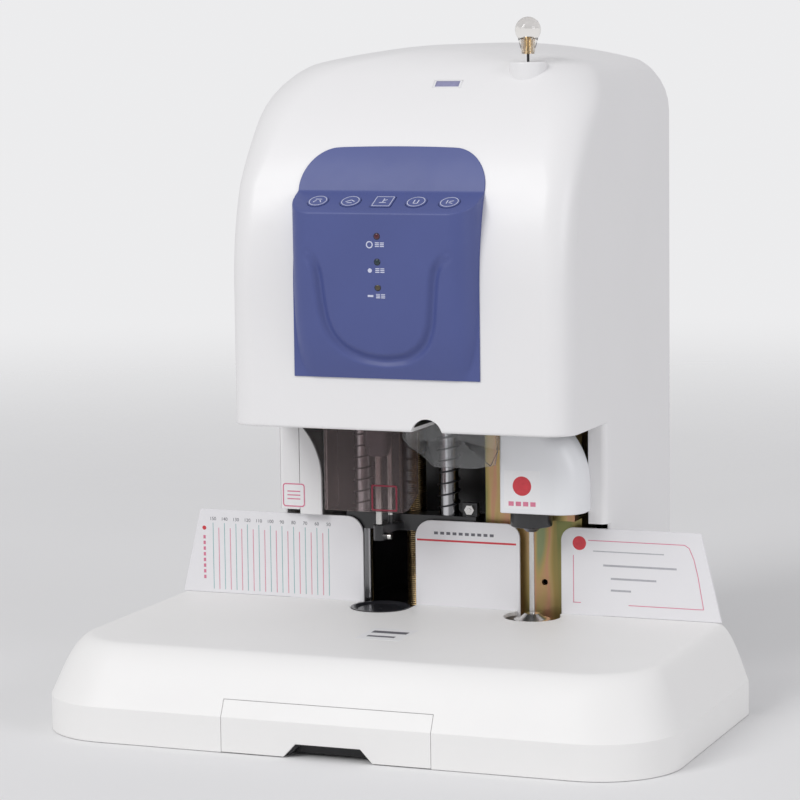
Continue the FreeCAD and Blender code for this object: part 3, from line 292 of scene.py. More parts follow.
# paler look for the smoked guard's downward faces: a painted highlight along its bottom edge
PAINTED_EDGE_HIGHLIGHT = plastic("sheet_edge_painted_highlight", (0.42, 0.36, 0.34), 0.3)
CLEAR = clear("clear_sheet", (0.88, 0.89, 0.90), 0.05, haze=0.06)
CRYSTAL = clear("knob_crystal", (0.86, 0.84, 0.81), 0.0)
BOARD = board("circuit_board")
LAMINATION = metal("laminations", (0.12, 0.12, 0.12), 0.5, (1.0, 1.0, 14.0), 60.0, 0.3)
INK_RED = ink("ink_red", (0.60, 0.045, 0.06))
INK_DARK_RED = ink("ink_dark_red", (0.20, 0.012, 0.03))
INK_PINK = ink("ink_pink", (0.66, 0.20, 0.30))
INK_TEAL = ink("ink_teal", (0.25, 0.46, 0.46))
INK_GREY = ink("ink_grey", (0.14, 0.14, 0.16))
INK_PALE = ink("ink_pale", (0.42, 0.42, 0.45))
INK_BLUE = ink("ink_blue", (0.26, 0.26, 0.42))
INK_WHITE = ink("ink_white", (0.60, 0.62, 0.76))
LABEL = ink("label_white", (0.83, 0.83, 0.84), 0.01)

NODE_LOOKS = (
    (INNER_BLACK, "anvil_bracket back_plate top_plate"),
    (GREY_PAINT, "base_plate power_supply ram_slide"),
    (FERRULE_BRASS, "carriage_bushes pusher_ferrule"),
    (CLEAR, "clear_deflector"),
    (BOARD, "control_boards"),
    (PAD_BLACK, "cutting_disc drill_pad"),
    (BRIGHT, "die_needle hollow_bit lower_die presser_fasteners ram_screw ram_sleeve rear_screws"),
    (TABLE, "drawer_tray"),
    (CASTING, "drill_carriage presser_foot rivet_head"),
    (DARK_STEEL, "drill_chuck rivet_tip"),
    (BLACK, "drill_motor fuse_holder lift_motor power_inlet pusher_rod ram_motor switch_frame"),
    (CHROME_PAINTED_REFLECTIONS, "guide_posts"),
    (CRYSTAL, "pusher_knob"),
    (REAR_PAINT, "rear_panel"),
    (ZINC, "rivet_frame"),
    (RUBBER, "rubber_feet"),
    (ROCKER_RED, "switch_rocker"),
    (LAMINATION, "transformer"),
    (ALUMINIUM, "tube_guide"),
    (WHITE, "tube_inlet"),
)


def dress_nodes():
    """Give the solids that stay in the scene their looks."""
    for look, names in NODE_LOOKS:
        for name in names.split():
            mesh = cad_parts[name].data
            mesh.materials.clear()
            mesh.materials.append(look)


# ---- mesh helpers
WELD_REACH = 0.005      # points closer than this become one


def add_mesh(name, verts, faces, look=None):
    """Piece from points and faces; one that only cuts another needs no look."""
    mesh = bpy.data.meshes.new(name)
    mesh.from_pydata([Vector(v) * MM for v in verts], [], faces)
    if look:
        mesh.materials.append(look)
    return add_object(name, mesh)


def applied(obj):
    """Make the result of the object's modifiers its own mesh."""
    graph = bpy.context.evaluated_depsgraph_get()
    mesh = bpy.data.meshes.new_from_object(obj.evaluated_get(graph))
    obj.modifiers.clear()
    obj.data = mesh
    return obj


def modify(obj, kind, **settings):
    change = obj.modifiers.new(kind.lower(), kind)
    for key, value in settings.items():
        setattr(change, key, value)


def combine(obj, tools, operation="DIFFERENCE"):
    for tool in tools:
        modify(obj, "BOOLEAN", operation=operation, solver="EXACT", object=tool)
    applied(obj)
    for tool in tools:
        bpy.data.objects.remove(tool)
    return obj


def tidy(obj, bevel=0.0, angle=35.0, segments=3):
    """Optional bevel on sharp edges, smooth shading with sharp creases, area-weighted normals."""
    modify(obj, "WELD", merge_threshold=WELD_REACH * MM)
    if bevel > 0:
        modify(obj, "BEVEL", width=bevel * MM, segments=segments, limit_method="ANGLE",
               angle_limit=radians(angle))
    applied(obj)
    obj.data.shade_smooth()
    obj.data.set_sharp_from_angle(angle=radians(angle))
    modify(obj, "WEIGHTED_NORMAL", keep_sharp=True)
    return applied(obj)


def place(obj, body, slot=None, node=None):
    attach(obj, body)
    if node:
        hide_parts(node)
    return obj


def grid_faces(rows, columns):
    """Faces between the neighbours of a grid of points stored row by row."""
    return [(a, a + 1, a + columns + 1, a + columns)
            for row in range(rows - 1) for a in range(row * columns, (row + 1) * columns - 1)]


def loft(name, rings, look=None):
    """Closed skin through rings of equal length, capped at both ends."""
    count = len(rings[0])
    verts = [p for ring in rings for p in ring]
    faces = []
    for k in range(len(rings) - 1):
        a, b = k * count, (k + 1) * count
        for i in range(count):
            j = (i + 1) % count
            faces.append((a + i, a + j, b + j, b + i))
    faces.append(tuple(reversed(range(count))))
    faces.append(tuple(range(len(verts) - count, len(verts))))
    return add_mesh(name, verts, faces, look)


def between(a, b, count):
    """Points between two ends, the ends left out."""
    return [tuple(p + (q - p) * k / (count + 1) for p, q in zip(a, b)) for k in range(1, count + 1)]


def plan_ring(x0, x1, y0, y1, z, r_left, steps=10, r_right=None, fill=0):
    """Outline in plan: rounded front corners, square rear ones, extra points on the straights if wanted."""
    r_right = r_left if r_right is None else r_right
    quarter = [pi / 2 * i / steps for i in range(steps + 1)]
    left = [(x0 + r_left - r_left * cos(t), y0 + r_left - r_left * sin(t), z) for t in quarter]
    right = [(x1 - r_right + r_right * sin(t), y0 + r_right - r_right * cos(t), z) for t in quarter]
    rear_left, rear_right = (x0, y1, z), (x1, y1, z)
    return ([rear_left] + between(rear_left, left[0], fill) + left + between(left[-1], right[0], fill) + right
            + between(right[-1], rear_right, fill) + [rear_right] + between(rear_right, rear_left, fill))


def rounded_block(name, x0, x1, y0, y1, z0, z1, r, look=None, steps=4):
    """Upright block with rounded front corners."""
    return loft(name, [plan_ring(x0, x1, y0, y1, z, r, steps) for z in (z0, z1)], look)


def block(name, x0, x1, y0, y1, z0, z1, look=None):
    verts = [(x, y, z) for z in (z0, z1) for x, y in ((x0, y0), (x1, y0), (x1, y1), (x0, y1))]
    faces = [(3, 2, 1, 0), (4, 5, 6, 7), (0, 1, 5, 4), (1, 2, 6, 5), (2, 3, 7, 6), (3, 0, 4, 7)]
    return add_mesh(name, verts, faces, look)


def round_ring(x, y, z, r, sides=64):
    """Level circle about an upright axis."""
    return [(x + r * cos(2 * pi * k / sides), y + r * sin(2 * pi * k / sides), z)
            for k in range(sides)]


def turned(name, x, y, profile, look=None, sides=64):
    """Turned form from (z, radius) levels."""
    return loft(name, [round_ring(x, y, z, r, sides) for z, r in profile], look)


def sheet_outline(name, points, y0, y1, look=None):
    """Plate in the XZ plane from an outline given anticlockwise as seen from the front."""
    return loft(name, [[(x, y, z) for x, z in points] for y in (y1, y0)], look)


def side_outline(name, points, x0, x1, look=None):
    """Plate in the YZ plane from an outline."""
    return loft(name, [[(x, y, z) for y, z in points] for x in (x0, x1)], look)


def arc(cx, cz, r, start, end, steps=10):
    """Points of an arc in the XZ plane, angles in degrees."""
    turn = [radians(start + (end - start) * i / steps) for i in range(steps + 1)]
    return [(cx + r * cos(t), cz + r * sin(t)) for t in turn]


def smooth_curve(points):
    """Monotone cubic through (t, value) points."""
    ts, vs = zip(*points)
    gaps = [b - a for a, b in zip(ts, ts[1:])]
    slopes = [(b - a) / g for a, b, g in zip(vs, vs[1:], gaps)]
    tangents = [slopes[0]]
    for p, q in zip(slopes, slopes[1:]):
        tangents.append(0.0 if p * q <= 0 else 2 * p * q / (p + q))
    tangents.append(slopes[-1])

    def value(t):
        t = min(max(t, ts[0]), ts[-1])
        i = min(sum(1 for s in ts[1:] if s < t), len(gaps) - 1)
        u, g = (t - ts[i]) / gaps[i], gaps[i]
        return (vs[i] * (1 + 2 * u) * (1 - u) ** 2 + tangents[i] * g * u * (1 - u) ** 2
                + vs[i + 1] * u * u * (3 - 2 * u) + tangents[i + 1] * g * u * u * (u - 1))

    return value


def along(points, step):
    """Even steps along a curve through points of any dimension, smooth in each coordinate."""
    lengths = [0.0]
    for p, q in zip(points, points[1:]):
        lengths.append(lengths[-1] + dist(p, q))
    curves = [smooth_curve(list(zip(lengths, values))) for values in zip(*points)]
    count = max(2, round(lengths[-1] / step))
    return [tuple(c(lengths[-1] * i / count) for c in curves) for i in range(count + 1)]


# ---- base
TRAY_R = 61.0
LEAN_Z, LEAN = 26.3, 33.8       # where the skirt starts to lean in, and how far the table's front lies back
LEAN_BLEND, LEAN_POWER = 0.86, 0.487            # exponents of the lean's curve
SIDE_SHARE, CORNER_SHARE = 0.75, 0.6            # how much of the lean the sides take, and of that the corners
BAYS = ((DRILL.x, 23.4, 23.4), (RIVET.x, 22.0, 18.0))       # x, radius, half width of the part behind
PASSAGE_HW = 130.5
SEAM = 0.3
NOTCH_FOOT, NOTCH_HEAD, NOTCH_Z = 35.0, 25.0, 10.5


def tray_solid(name, inset, drop):
    steps = 24
    levels = [(TRAY_LO.z, 0.0), (12.0, 0.0), (20.0, 0.0)]
    for k in range(steps + 1):
        share = 1 - (1 - (k / steps) ** 2) ** 2
        lean = LEAN * (1 - max(0.0, 1 - share ** LEAN_BLEND) ** LEAN_POWER)
        levels.append((LEAN_Z + (TABLE_Z - LEAN_Z) * share, lean))
    rings = []
    for z, front in levels:
        side = SIDE_SHARE * front
        hw = TRAY_HI.x - side - inset
        rings.append(plan_ring(-hw, hw, TRAY_LO.y + front + inset, TRAY_REAR - inset, z - drop,
                               TRAY_R - CORNER_SHARE * side - inset, 24, fill=5))
    return loft(name, rings, TABLE)


def tray_hollow(name):
    hw = TRAY_HI.x - SHELL
    foot = rounded_block(name + "_foot", -hw, hw, TRAY_LO.y + SHELL, TRAY_REAR - SHELL, -3.0, 8.0,
                         TRAY_R - SHELL, steps=24)
    return [tray_solid(name, SHELL, SHELL), foot]


def base_shell():
    shell = tray_solid("tray_body", 0.0, 0.0)
    tools = tray_hollow("tray_inside")
    tools.append(block("passage", -PASSAGE_HW, PASSAGE_HW, GUIDE_LO.y - 0.2, TRAY_REAR + 1, -1, TABLE_Z + 1))
    for x, radius, half in BAYS:
        tools.append(turned("bay", x, DRILL.y, ((50, radius), (80, radius)), sides=96))
        tools.append(block("bay_rear", x - half, x + half, DRILL.y, 42, 50, 80))
    tools.append(block("drawer_mouth", DRAWER_LO.x - SEAM, DRAWER_HI.x + SEAM, TRAY_LO.y - 5, TRAY_LO.y + 30,
                       -1, DRAWER_HI.z + SEAM))
    combine(shell, tools)
    skirt = rounded_block("column_skirt", HEAD_LO.x, HEAD_HI.x, GUIDE_LO.y + 0.5, TRAY_HI.y,
                          TRAY_LO.z, TABLE_Z, 1.0, TABLE)
    combine(skirt, [rounded_block("skirt_inside", HEAD_LO.x + SHELL, HEAD_HI.x - SHELL, 20, TRAY_HI.y - SHELL,
                                  TRAY_LO.z - 2, TABLE_Z + 2, 1.0)])
    for piece, bevel in ((shell, 0.35), (skirt, 0.4)):
        tidy(piece, bevel, 40.0, 2)
        place(piece, "chassis", "table_plastic", "base_shell")


def grip_outline(foot, head, low, high):
    """Trapezium of the drawer's grip, as (x, z)."""
    return [(-foot, low), (foot, low), (head, high), (-head, high)]


def drawer_front():
    front = tray_solid("drawer_face", 0.0, 0.0)
    slab = block("drawer_slab", DRAWER_LO.x, DRAWER_HI.x, TRAY_LO.y - 5, TRAY_LO.y + 20,
                 DRAWER_LO.z, DRAWER_HI.z)
    combine(front, [slab], "INTERSECT")
    grip = sheet_outline("grip", grip_outline(NOTCH_FOOT, NOTCH_HEAD, 0, NOTCH_Z),
                         TRAY_LO.y - 6, TRAY_LO.y + 12)
    combine(front, tray_hollow("drawer_inside") + [grip])
    tidy(front, 0.35, 40.0, 2)
    place(front, "scrap_drawer", "drawer_plastic", "drawer_front")
    foot, head = NOTCH_FOOT - 1, NOTCH_HEAD + 0.2
    # black cup behind the grip notch: a dark piece standing in for the shade inside the recess
    cup = sheet_outline("grip_shade_cup", grip_outline(foot, head, 2.4, NOTCH_Z - 0.2),
                        TRAY_LO.y + 3.2, TRAY_LO.y + 12, BLACK)
    void = sheet_outline("grip_void", grip_outline(foot - 3, head - 1.6, 1, NOTCH_Z - 1.6),
                         TRAY_LO.y + 2, TRAY_LO.y + 10.5)
    combine(cup, [void])
    tidy(cup, 0.2)
    place(cup, "scrap_drawer", "black_plastic")


# ---- head
HEAD_FRONT = -61.0
HEAD_EDGE_R = 21.0
CROWN = 0.00116                                 # z = HEAD_TOP - CROWN * x * x across the top
SHOULDER_R = 45.0
SHOULDER_Z = HEAD_TOP - 54.7
# radii of the front's three arcs, and the slope at each arc's end in degrees from upright
HEAD_RADII, HEAD_SLOPES = (200.6, 88.8, 254.0), (50.5, 80.3, 90.0)
EDGE_FROM, EDGE_GROWTH = 400.0, 0.28            # the front edges' radius grows above this height
ROOF_FROM, ROOF_OVER = 420.0, 60.0              # where the roof's thickness sets in, and over how much height
LIP_R = 2.0
THUMB_X, THUMB_DROP, THUMB_R = 25.4, 2.5, 12.5  # thumb notch; its centre lies this far below the lip
INLET_R, INLET_BORE, INLET_LIP = 14.0, 9.1, 6.5
HEAD_MOUTH = (-118, 124, -11.7)                 # left, right and front of the opening under the head
STRIP_GROOVE = (-133.5, -132.9, 29, 31.9)       # x and y of the seam beside the neck's side strip
LEG_INSIDE = 49.5                               # the openings of neck and leg reach back to here


def head_arcs():
    """Arcs of the head's front from its foot up: start height, start y, start angle, radius, end angle."""
    arcs = []
    z, y, start = 0.0, HEAD_FRONT, 0.0
    for radius, slope in zip(HEAD_RADII, HEAD_SLOPES):
        end = radians(slope)
        arcs.append([z, y, start, radius, end])
        z += radius * (sin(end) - sin(start))
        y += radius * (cos(start) - cos(end))
        start = end
    return [[HEAD_TOP - z + low] + rest for low, *rest in arcs]


ARCS = head_arcs()


def head_front(z):
    """Y of the head's front at a height."""
    front = HEAD_FRONT
    for low, y, start, radius, end in ARCS:
        if z >= low:
            sine = min(1.0, sin(start) + (z - low) / radius)
            front = y + radius * (cos(start) - sqrt(1 - sine * sine))
    return front


def head_width(z):
    rise = max(0.0, z - SHOULDER_Z)
    shoulder = HEAD_HI.x - SHOULDER_R + sqrt(max(0.0, SHOULDER_R ** 2 - rise ** 2))
    return min(shoulder, sqrt(max(0.0, HEAD_TOP - z) / CROWN))


def head_rings(inset, rear):
    """Level rings: even steps up the upright front, then even turns along each arc."""
    steps = 16
    foot = HEAD_BOT + LIP_R + 1
    levels = [foot + (ARCS[0][0] - foot) * k / 8 for k in range(8)]
    for low, y, start, radius, end in ARCS:
        for k in range(steps):
            turn = start + (end - start) * k / steps
            levels.append(low + radius * (sin(turn) - sin(start)))
    rings = []
    for z in levels:
        hw = head_width(z)
        r = min(HEAD_EDGE_R + max(0.0, z - EDGE_FROM) * EDGE_GROWTH, 0.75 * hw)
        drop = inset * max(0.0, min(1.0, (z - ROOF_FROM) / ROOF_OVER))
        rings.append(plan_ring(-hw + inset, hw - inset, head_front(z) + inset, rear, z - drop,
                               max(r - inset, 2.0), 16, fill=7))
    return rings


def head_solid(name, inset, rear, foot):
    """Leg, neck and head in one skin; the steps are the neck's foot and the head's underside."""
    hw = HEAD_HI.x - inset
    lower = [plan_ring(-hw, hw, front + inset, rear, z, r, 16, fill=7)
             for front, z, r in ((LEG_FRONT, foot, 3.0), (LEG_FRONT, NECK_BOT + inset, 3.0),
                                 (NECK_FRONT, NECK_BOT + inset, 5.0), (NECK_FRONT, HEAD_BOT + inset, 5.0))]
    lip = []
    for turn in range(5):
        t = pi / 2 * turn / 4
        lip.append(plan_ring(-hw, hw, HEAD_FRONT + inset + LIP_R * (1 - sin(t)), rear,
                             HEAD_BOT + inset + LIP_R * (1 - cos(t)), HEAD_EDGE_R - inset, 16, fill=7))
    upper = [ring for ring in head_rings(inset, rear) if ring[0][2] > HEAD_BOT + inset + LIP_R + 0.1]
    return loft(name, lower + lip + upper, WHITE)


def head_cover():
    cover = head_solid("head_body", 0.0, HEAD_HI.y, HEAD_LO.z)
    top = INLET_HI.z + 0.05
    boss = turned("inlet_boss", RIVET.x, RIVET.y,
                  ((top - 16, INLET_R), (top - 1.2, INLET_R), (top - 0.5, INLET_R - 0.2),
                   (top - 0.1, INLET_R - 0.7), (top, INLET_R - 1.3)), WHITE, 96)
    left, right, hw = CHEEK_LO.x - 0.3, 121, HEAD_HI.x - SHELL
    front, behind = NECK_FRONT - 1, NECK_FRONT + SHELL + 1
    tools = [
        head_solid("head_inside", SHELL, HEAD_HI.y + 8, 60.0),
        block("underside", *HEAD_MOUTH, behind, HEAD_BOT - 1, HEAD_BOT + SHELL + 1),
        block("neck_mouth", left, right, front, behind, 60, HEAD_BOT + SHELL),
        block("neck_floor", left, right, front, LEG_INSIDE, NECK_BOT - 5, NECK_BOT + 4),
        block("leg_mouth", -hw, hw, TRAY_REAR - 1, LEG_INSIDE, 60, NECK_BOT + 4),
        sheet_outline("lip_notch", arc(THUMB_X, HEAD_BOT - THUMB_DROP, THUMB_R, 0, 355, 71), -70, -5),
        block("strip_groove", *STRIP_GROOVE, NECK_BOT - 1, HEAD_BOT + 1),
    ]
    combine(cover, tools)
    combine(cover, [boss], "UNION")
    inlet = turned("inlet_hole", RIVET.x, RIVET.y, ((INLET_LO.z - 6, INLET_BORE), (top - 0.8, INLET_BORE),
                                                    (top - 0.8, INLET_LIP), (top + 1, INLET_LIP)))
    combine(cover, [inlet])
    tidy(cover, 0.35, 38.0, 2)
    place(cover, "chassis", "cover_white", "head_cover")


# ---- neck and nose
CHEEK_BEND_Z, CHEEK_BEND_R = 166.0, 60.0
NOSE_BEND_Z, NOSE_BEND_R = 171.0, 62.0


def neck_cheek():
    cx = CHEEK_HI.x - CHEEK_BEND_R
    reach = degrees(acos((CHEEK_LO.x + 2 - cx) / CHEEK_BEND_R))
    points = [(CHEEK_LO.x, CHEEK_LO.z), (CHEEK_HI.x, CHEEK_LO.z)]
    points += arc(cx, CHEEK_BEND_Z, CHEEK_BEND_R, 0, reach, 18) + [(CHEEK_LO.x, CHEEK_HI.z)]
    cheek = sheet_outline("neck_side", points, CHEEK_LO.y, CHEEK_HI.y, WHITE)
    tidy(cheek, 0.5)
    place(cheek, "chassis", "cover_white", "neck_cheek")


def nose_ring(z, inset, rear, z_at=None):
    """Outline of the nose; its right edge follows the bend at z, or at another height if given."""
    rise = max(0.0, (z if z_at is None else z_at) - NOSE_BEND_Z)
    edge = NOSE_HI.x - NOSE_BEND_R + sqrt(NOSE_BEND_R ** 2 - rise ** 2)
    return plan_ring(NOSE_LO.x + inset, edge - inset, NOSE_LO.y + inset, rear, z, max(2.0 - inset, 0.6), 10,
                     20.0 - inset, fill=3)


def nose_cover():
    low, high = NOSE_LO.z, NOSE_HI.z
    levels = [low + 3, low + 11] + [NOSE_BEND_Z + (high - NOSE_BEND_Z) * k / 20 for k in range(21)]
    rings = [nose_ring(low + rise, inset, NOSE_HI.y) for rise, inset in ((0.0, 1.0), (0.3, 0.3), (1.0, 0.0))]
    rings += [nose_ring(z, 0.0, NOSE_HI.y) for z in levels]
    nose = loft("nose_body", rings, NOSE_WHITE)
    wall, rear = 2.0, NOSE_HI.y + 4
    hollow = [nose_ring(low - 1, wall, rear, low)] + [nose_ring(z, wall, rear) for z in levels]
    hollow.append(nose_ring(high + 2, wall, rear, high))
    combine(nose, [loft("nose_inside", hollow)])
    tidy(nose, 0.0, 38.0)
    place(nose, "chassis", "nose_white", "nose_cover")


# ---- guard over the drill
def smoked_guard():
    """Folded sheet open at the back; its right side reaches further back and has its lower corner cut off."""
    wall, low, high = 2.0, GUARD_LO.z, GUARD_HI.z
    reach = GUARD_HI.y + 9
    sheet = rounded_block("guard_sheet", GUARD_LO.x, GUARD_HI.x, GUARD_LO.y, reach, low, high, 3.0, SMOKED, 6)
    inner = rounded_block("guard_inside", GUARD_LO.x + wall, GUARD_HI.x - wall, GUARD_LO.y + wall, reach + 5,
                          low - 1, high + 1, 1.2, steps=6)
    left_back = block("left_back", GUARD_LO.x - 1, GUARD_LO.x + 10, GUARD_HI.y, reach + 1, low - 1, high + 1)
    corner = [(GUARD_LO.y + 14.5, low), (reach + 1, low - 1), (reach + 1, low + 10.4)]
    cut = side_outline("guard_corner", corner, GUARD_HI.x - 10, GUARD_HI.x + 5)
    combine(sheet, [inner, left_back, cut])
    sheet.data.materials.append(PAINTED_EDGE_HIGHLIGHT)
    tidy(sheet, 0.3, 35.0, 2)
    # downward faces take the paler look, a painted highlight along the bottom edge
    for face in sheet.data.polygons:
        face.material_index = int(face.normal.z < -0.9)
    place(sheet, "chassis", "smoked_plastic", "smoked_guard")


# ---- blue panel
LEDGE_BACK, LEDGE_FRONT = (-49.0, 395.7), (-77.0, 382.0)      # Y, Z
SWELL, SWELL_RISE, SWELL_R = 14.8, 27.0, 20.0
ARCH_R, ARCH_CROWN = 28.0, 2.0
GROOVE = ((-61.5, 350.5), (-57.0, 345.0), (-53.6, 335.0), (-51.6, 318.0), (-49.0, 302.0), (-43.5, 289.5),
          (-32.0, 279.0), (-18.0, 273.6), (-4.0, 272.0), (10.0, 273.4), (22.0, 278.8), (31.0, 289.0),
          (35.0, 302.0), (36.6, 318.0), (38.6, 336.0), (43.0, 345.5), (49.0, 350.5))
GROOVE_WIDTH, GROOVE_DEPTH, GROOVE_FADE = 5.8, 3.3, 14.0
GROOVE_LOW = min(z for _, z in GROOVE)
GROOVE_LINE = along(GROOVE, 1.0)
LEDGE_BLEND, ARCH_BLEND = 2.6, 1.2
ARCH_PROUD = 1.0                                # how far the arch stands out from the head
PANEL_COLUMNS = 170


def panel_front(z):
    """Front of the swollen part; its foot sets back."""
    return LEDGE_FRONT[0] - 0.3 + SWELL * exp(-(z - PANEL_LO.z) / SWELL_RISE)


def ledge_y(z):
    share = (z - LEDGE_FRONT[1]) / (LEDGE_BACK[1] - LEDGE_FRONT[1])
    return LEDGE_FRONT[0] + (LEDGE_BACK[0] - LEDGE_FRONT[0]) * share


def soft_max(a, b, radius):
    """Larger of two values with a rounded hand-over."""
    h = max(radius - abs(a - b), 0.0) / radius
    return max(a, b) + h * h * radius * 0.25


def groove_depth(x, z):
    """Pressed U: a channel with a rounded shoulder, fading out at both ends."""
    if z > GROOVE[0][1] + GROOVE_WIDTH or z < GROOVE_LOW - GROOVE_WIDTH:
        return 0.0
    best = min(hypot(x - gx, z - gz) for gx, gz in GROOVE_LINE)
    if best >= GROOVE_WIDTH:
        return 0.0
    ends = min(hypot(x - gx, z - gz) for gx, gz in (GROOVE_LINE[0], GROOVE_LINE[-1]))
    fade = min(1.0, ends / GROOVE_FADE)
    return GROOVE_DEPTH * fade * 0.5 * (1 + cos(pi * best / GROOVE_WIDTH))


def panel_depth(x, z):
    """Front surface of the panel, Y at a place."""
    face = panel_front(z)
    edge = min(abs(x - PANEL_X) - (PANEL_HW - SWELL_R), SWELL_R)
    if edge > 0:
        face += SWELL_R - sqrt(SWELL_R ** 2 - edge ** 2)
    y = soft_max(face, ledge_y(z), LEDGE_BLEND)
    arch = head_front(z) - ARCH_PROUD
    return -soft_max(-y, -arch, ARCH_BLEND) + groove_depth(x, z)


def panel_width(z):
    """Half width at a height; the arch has round corners and a slightly crowned top."""
    low, high = 1.0, PANEL_HW
    for _ in range(24):
        half = (low + high) / 2
        corner = max(0.0, half - (PANEL_HW - ARCH_R))
        drop = ARCH_CROWN * (half / PANEL_HW) ** 2 + ARCH_R - sqrt(ARCH_R ** 2 - corner ** 2)
        if PANEL_HI.z - drop > z:
            low = half
        else:
            high = half
    return high


def panel_heights():
    """Levels of the panel's skin: fine over the groove, the ledge and the arch, coarse elsewhere."""
    arch = ARCH_R + ARCH_CROWN
    heights = {PANEL_LO.z, PANEL_LO.z + 4}
    heights.update(266.0 + 0.9 * i for i in range(100))
    heights.update(357.0 + 3.0 * i for i in range(8))
    heights.update(379.5 + 0.7 * i for i in range(28))
    heights.update(PANEL_HI.z - arch + arch * sin(pi / 2 * i / 36) for i in range(1, 37))
    return sorted(z for z in heights if z <= PANEL_HI.z)


def control_panel():
    evenly = [2.0 * i / PANEL_COLUMNS - 1.0 for i in range(PANEL_COLUMNS + 1)]
    columns = [0.5 * sin(pi / 2 * c) + 0.5 * c for c in evenly]
    verts = []
    for z in panel_heights():
        hw = panel_width(z)
        verts += [(PANEL_X + c * hw, panel_depth(PANEL_X + c * hw, z), z) for c in columns]
    n, rows = len(columns), len(verts) // len(columns)
    faces = grid_faces(rows, n)
    rim = list(range(n)) + [k * n + n - 1 for k in range(1, rows)]
    rim += [(rows - 1) * n + i for i in range(n - 2, -1, -1)] + [k * n for k in range(rows - 2, 0, -1)]
    start = len(verts)
    for i in rim:
        x, y, z = verts[i]
        verts.append((x, head_front(z) + 2.2, z))
    for k in range(len(rim)):
        j = (k + 1) % len(rim)
        faces.append((rim[k], start + k, start + j, rim[j]))
    faces.append(tuple(range(start, len(verts))))
    panel = add_mesh("panel_skin", verts, faces, BLUE)
    combine(panel, [loft("key_well", [key_ring(k, KEY_R + KEY_GAP, z, 1.4) for z in (-WELL, WELL)])
                    for k in KEYS])
    tidy(panel, 0.0, 50.0)
    place(panel, "chassis", "panel_blue", "control_panel")


# ---- keys and lamps
KEYS = range(-2, 3)             # counted from the middle key, which is square
KEY_PITCH, KEY_R, KEY_LIFT = 26.0, 8.0, 0.7
KEY_GAP, WELL = 0.25, 6.0       # room around a key, and how far its well reaches from the face
LENS_R, LENS_EDGE = 2.15, 2.9
PRINT = 0.06                    # how far a printed mark stands out
LED_COLOURS = (("red", (0.07, 0.002, 0.012)), ("green", (0.004, 0.022, 0.03)), ("amber", (0.06, 0.045, 0.02)))


def key_frame(k):
    """Matrix whose XY plane is the key's face, +Y up the slope."""
    slope = Vector((0.0, LEDGE_BACK[0] - LEDGE_FRONT[0], LEDGE_BACK[1] - LEDGE_FRONT[1])).normalized()
    normal = Vector((1, 0, 0)).cross(slope)
    centre = Vector((PANEL_X + KEY_PITCH * k, (LEDGE_BACK[0] + LEDGE_FRONT[0]) / 2,
                     (LEDGE_BACK[1] + LEDGE_FRONT[1]) / 2)) + normal * KEY_LIFT
    return Matrix.Translation(centre) @ Matrix((Vector((1, 0, 0)), slope, normal)).transposed().to_4x4()


def facing_front(x, y, z):
    """Matrix whose XY plane faces the operator."""
    return Matrix.Translation((x, y, z)) @ Matrix.Rotation(radians(90), 4, "X")


def shift(points, matrix):
    return [tuple(matrix @ Vector(p)) for p in points]


def rounded_square(half, r, z, steps=6):
    ring = []
    for cx, cy, start in ((1, 1, 0), (-1, 1, 90), (-1, -1, 180), (1, -1, 270)):
        for i in range(steps + 1):
            t = radians(start + 90 * i / steps)
            ring.append((cx * (half - r) + r * cos(t), cy * (half - r) + r * sin(t), z))
    return ring


def circle(r, z, steps=48):
    return round_ring(0.0, 0.0, z, r, steps)


def key_ring(k, r, z, corner):
    """Outline of a key, in place."""
    return shift(circle(r, z, 64) if k else rounded_square(r, corner, z), key_frame(k))


def band(name, outer, inner, matrix, look, height=PRINT):
    """Printed line between two outlines that match point by point."""
    n = len(outer)
    raised = [[(x, y, z + height) for x, y, z in ring] for ring in (outer, inner)]
    verts = shift([p for ring in (outer, *raised, inner) for p in ring], matrix)
    faces = []
    for k in range(3):
        for i in range(n):
            j = (i + 1) % n
            faces.append((k * n + i, k * n + j, (k + 1) * n + j, (k + 1) * n + i))
    return add_mesh(name, verts, faces, look)


def disc(name, r, matrix, look):
    """Printed round spot."""
    return loft(name, [shift(circle(r, h, 40), matrix) for h in (-0.05, PRINT)], look)


def stroke(name, x, y, length, width, angle, matrix, look):
    """Short printed bar on a plane."""
    c, s = cos(radians(angle)), sin(radians(angle))
    a, b = length / 2, width / 2
    flat = [(x + px * c - py * s, y + px * s + py * c) for px, py in ((-a, -b), (a, -b), (a, b), (-a, b))]
    return loft(name, [shift([(px, py, z) for px, py in flat], matrix) for z in (-0.02, PRINT)], look)


KEY_MARKS = {
    -2: ((0, 2.2, 5.0, 0), (-2.2, -0.8, 3.4, 60), (2.2, -0.8, 3.4, -60)),
    -1: ((-1.6, 0, 4.6, 35), (1.8, 0.4, 4.2, -35), (0, -2.6, 4.0, 0)),
    0: ((0, 1.2, 5.6, 90), (0, -1.8, 5.4, 0), (1.6, 1.8, 2.6, 25)),
    1: ((-1.6, 0, 4.8, 90), (1.6, 0, 4.8, 90), (0, -2.6, 3.4, 0)),
    2: ((-1.8, 0, 4.8, 90), (1.4, 1.2, 3.4, 20), (1.4, -1.6, 3.4, -20)),
}


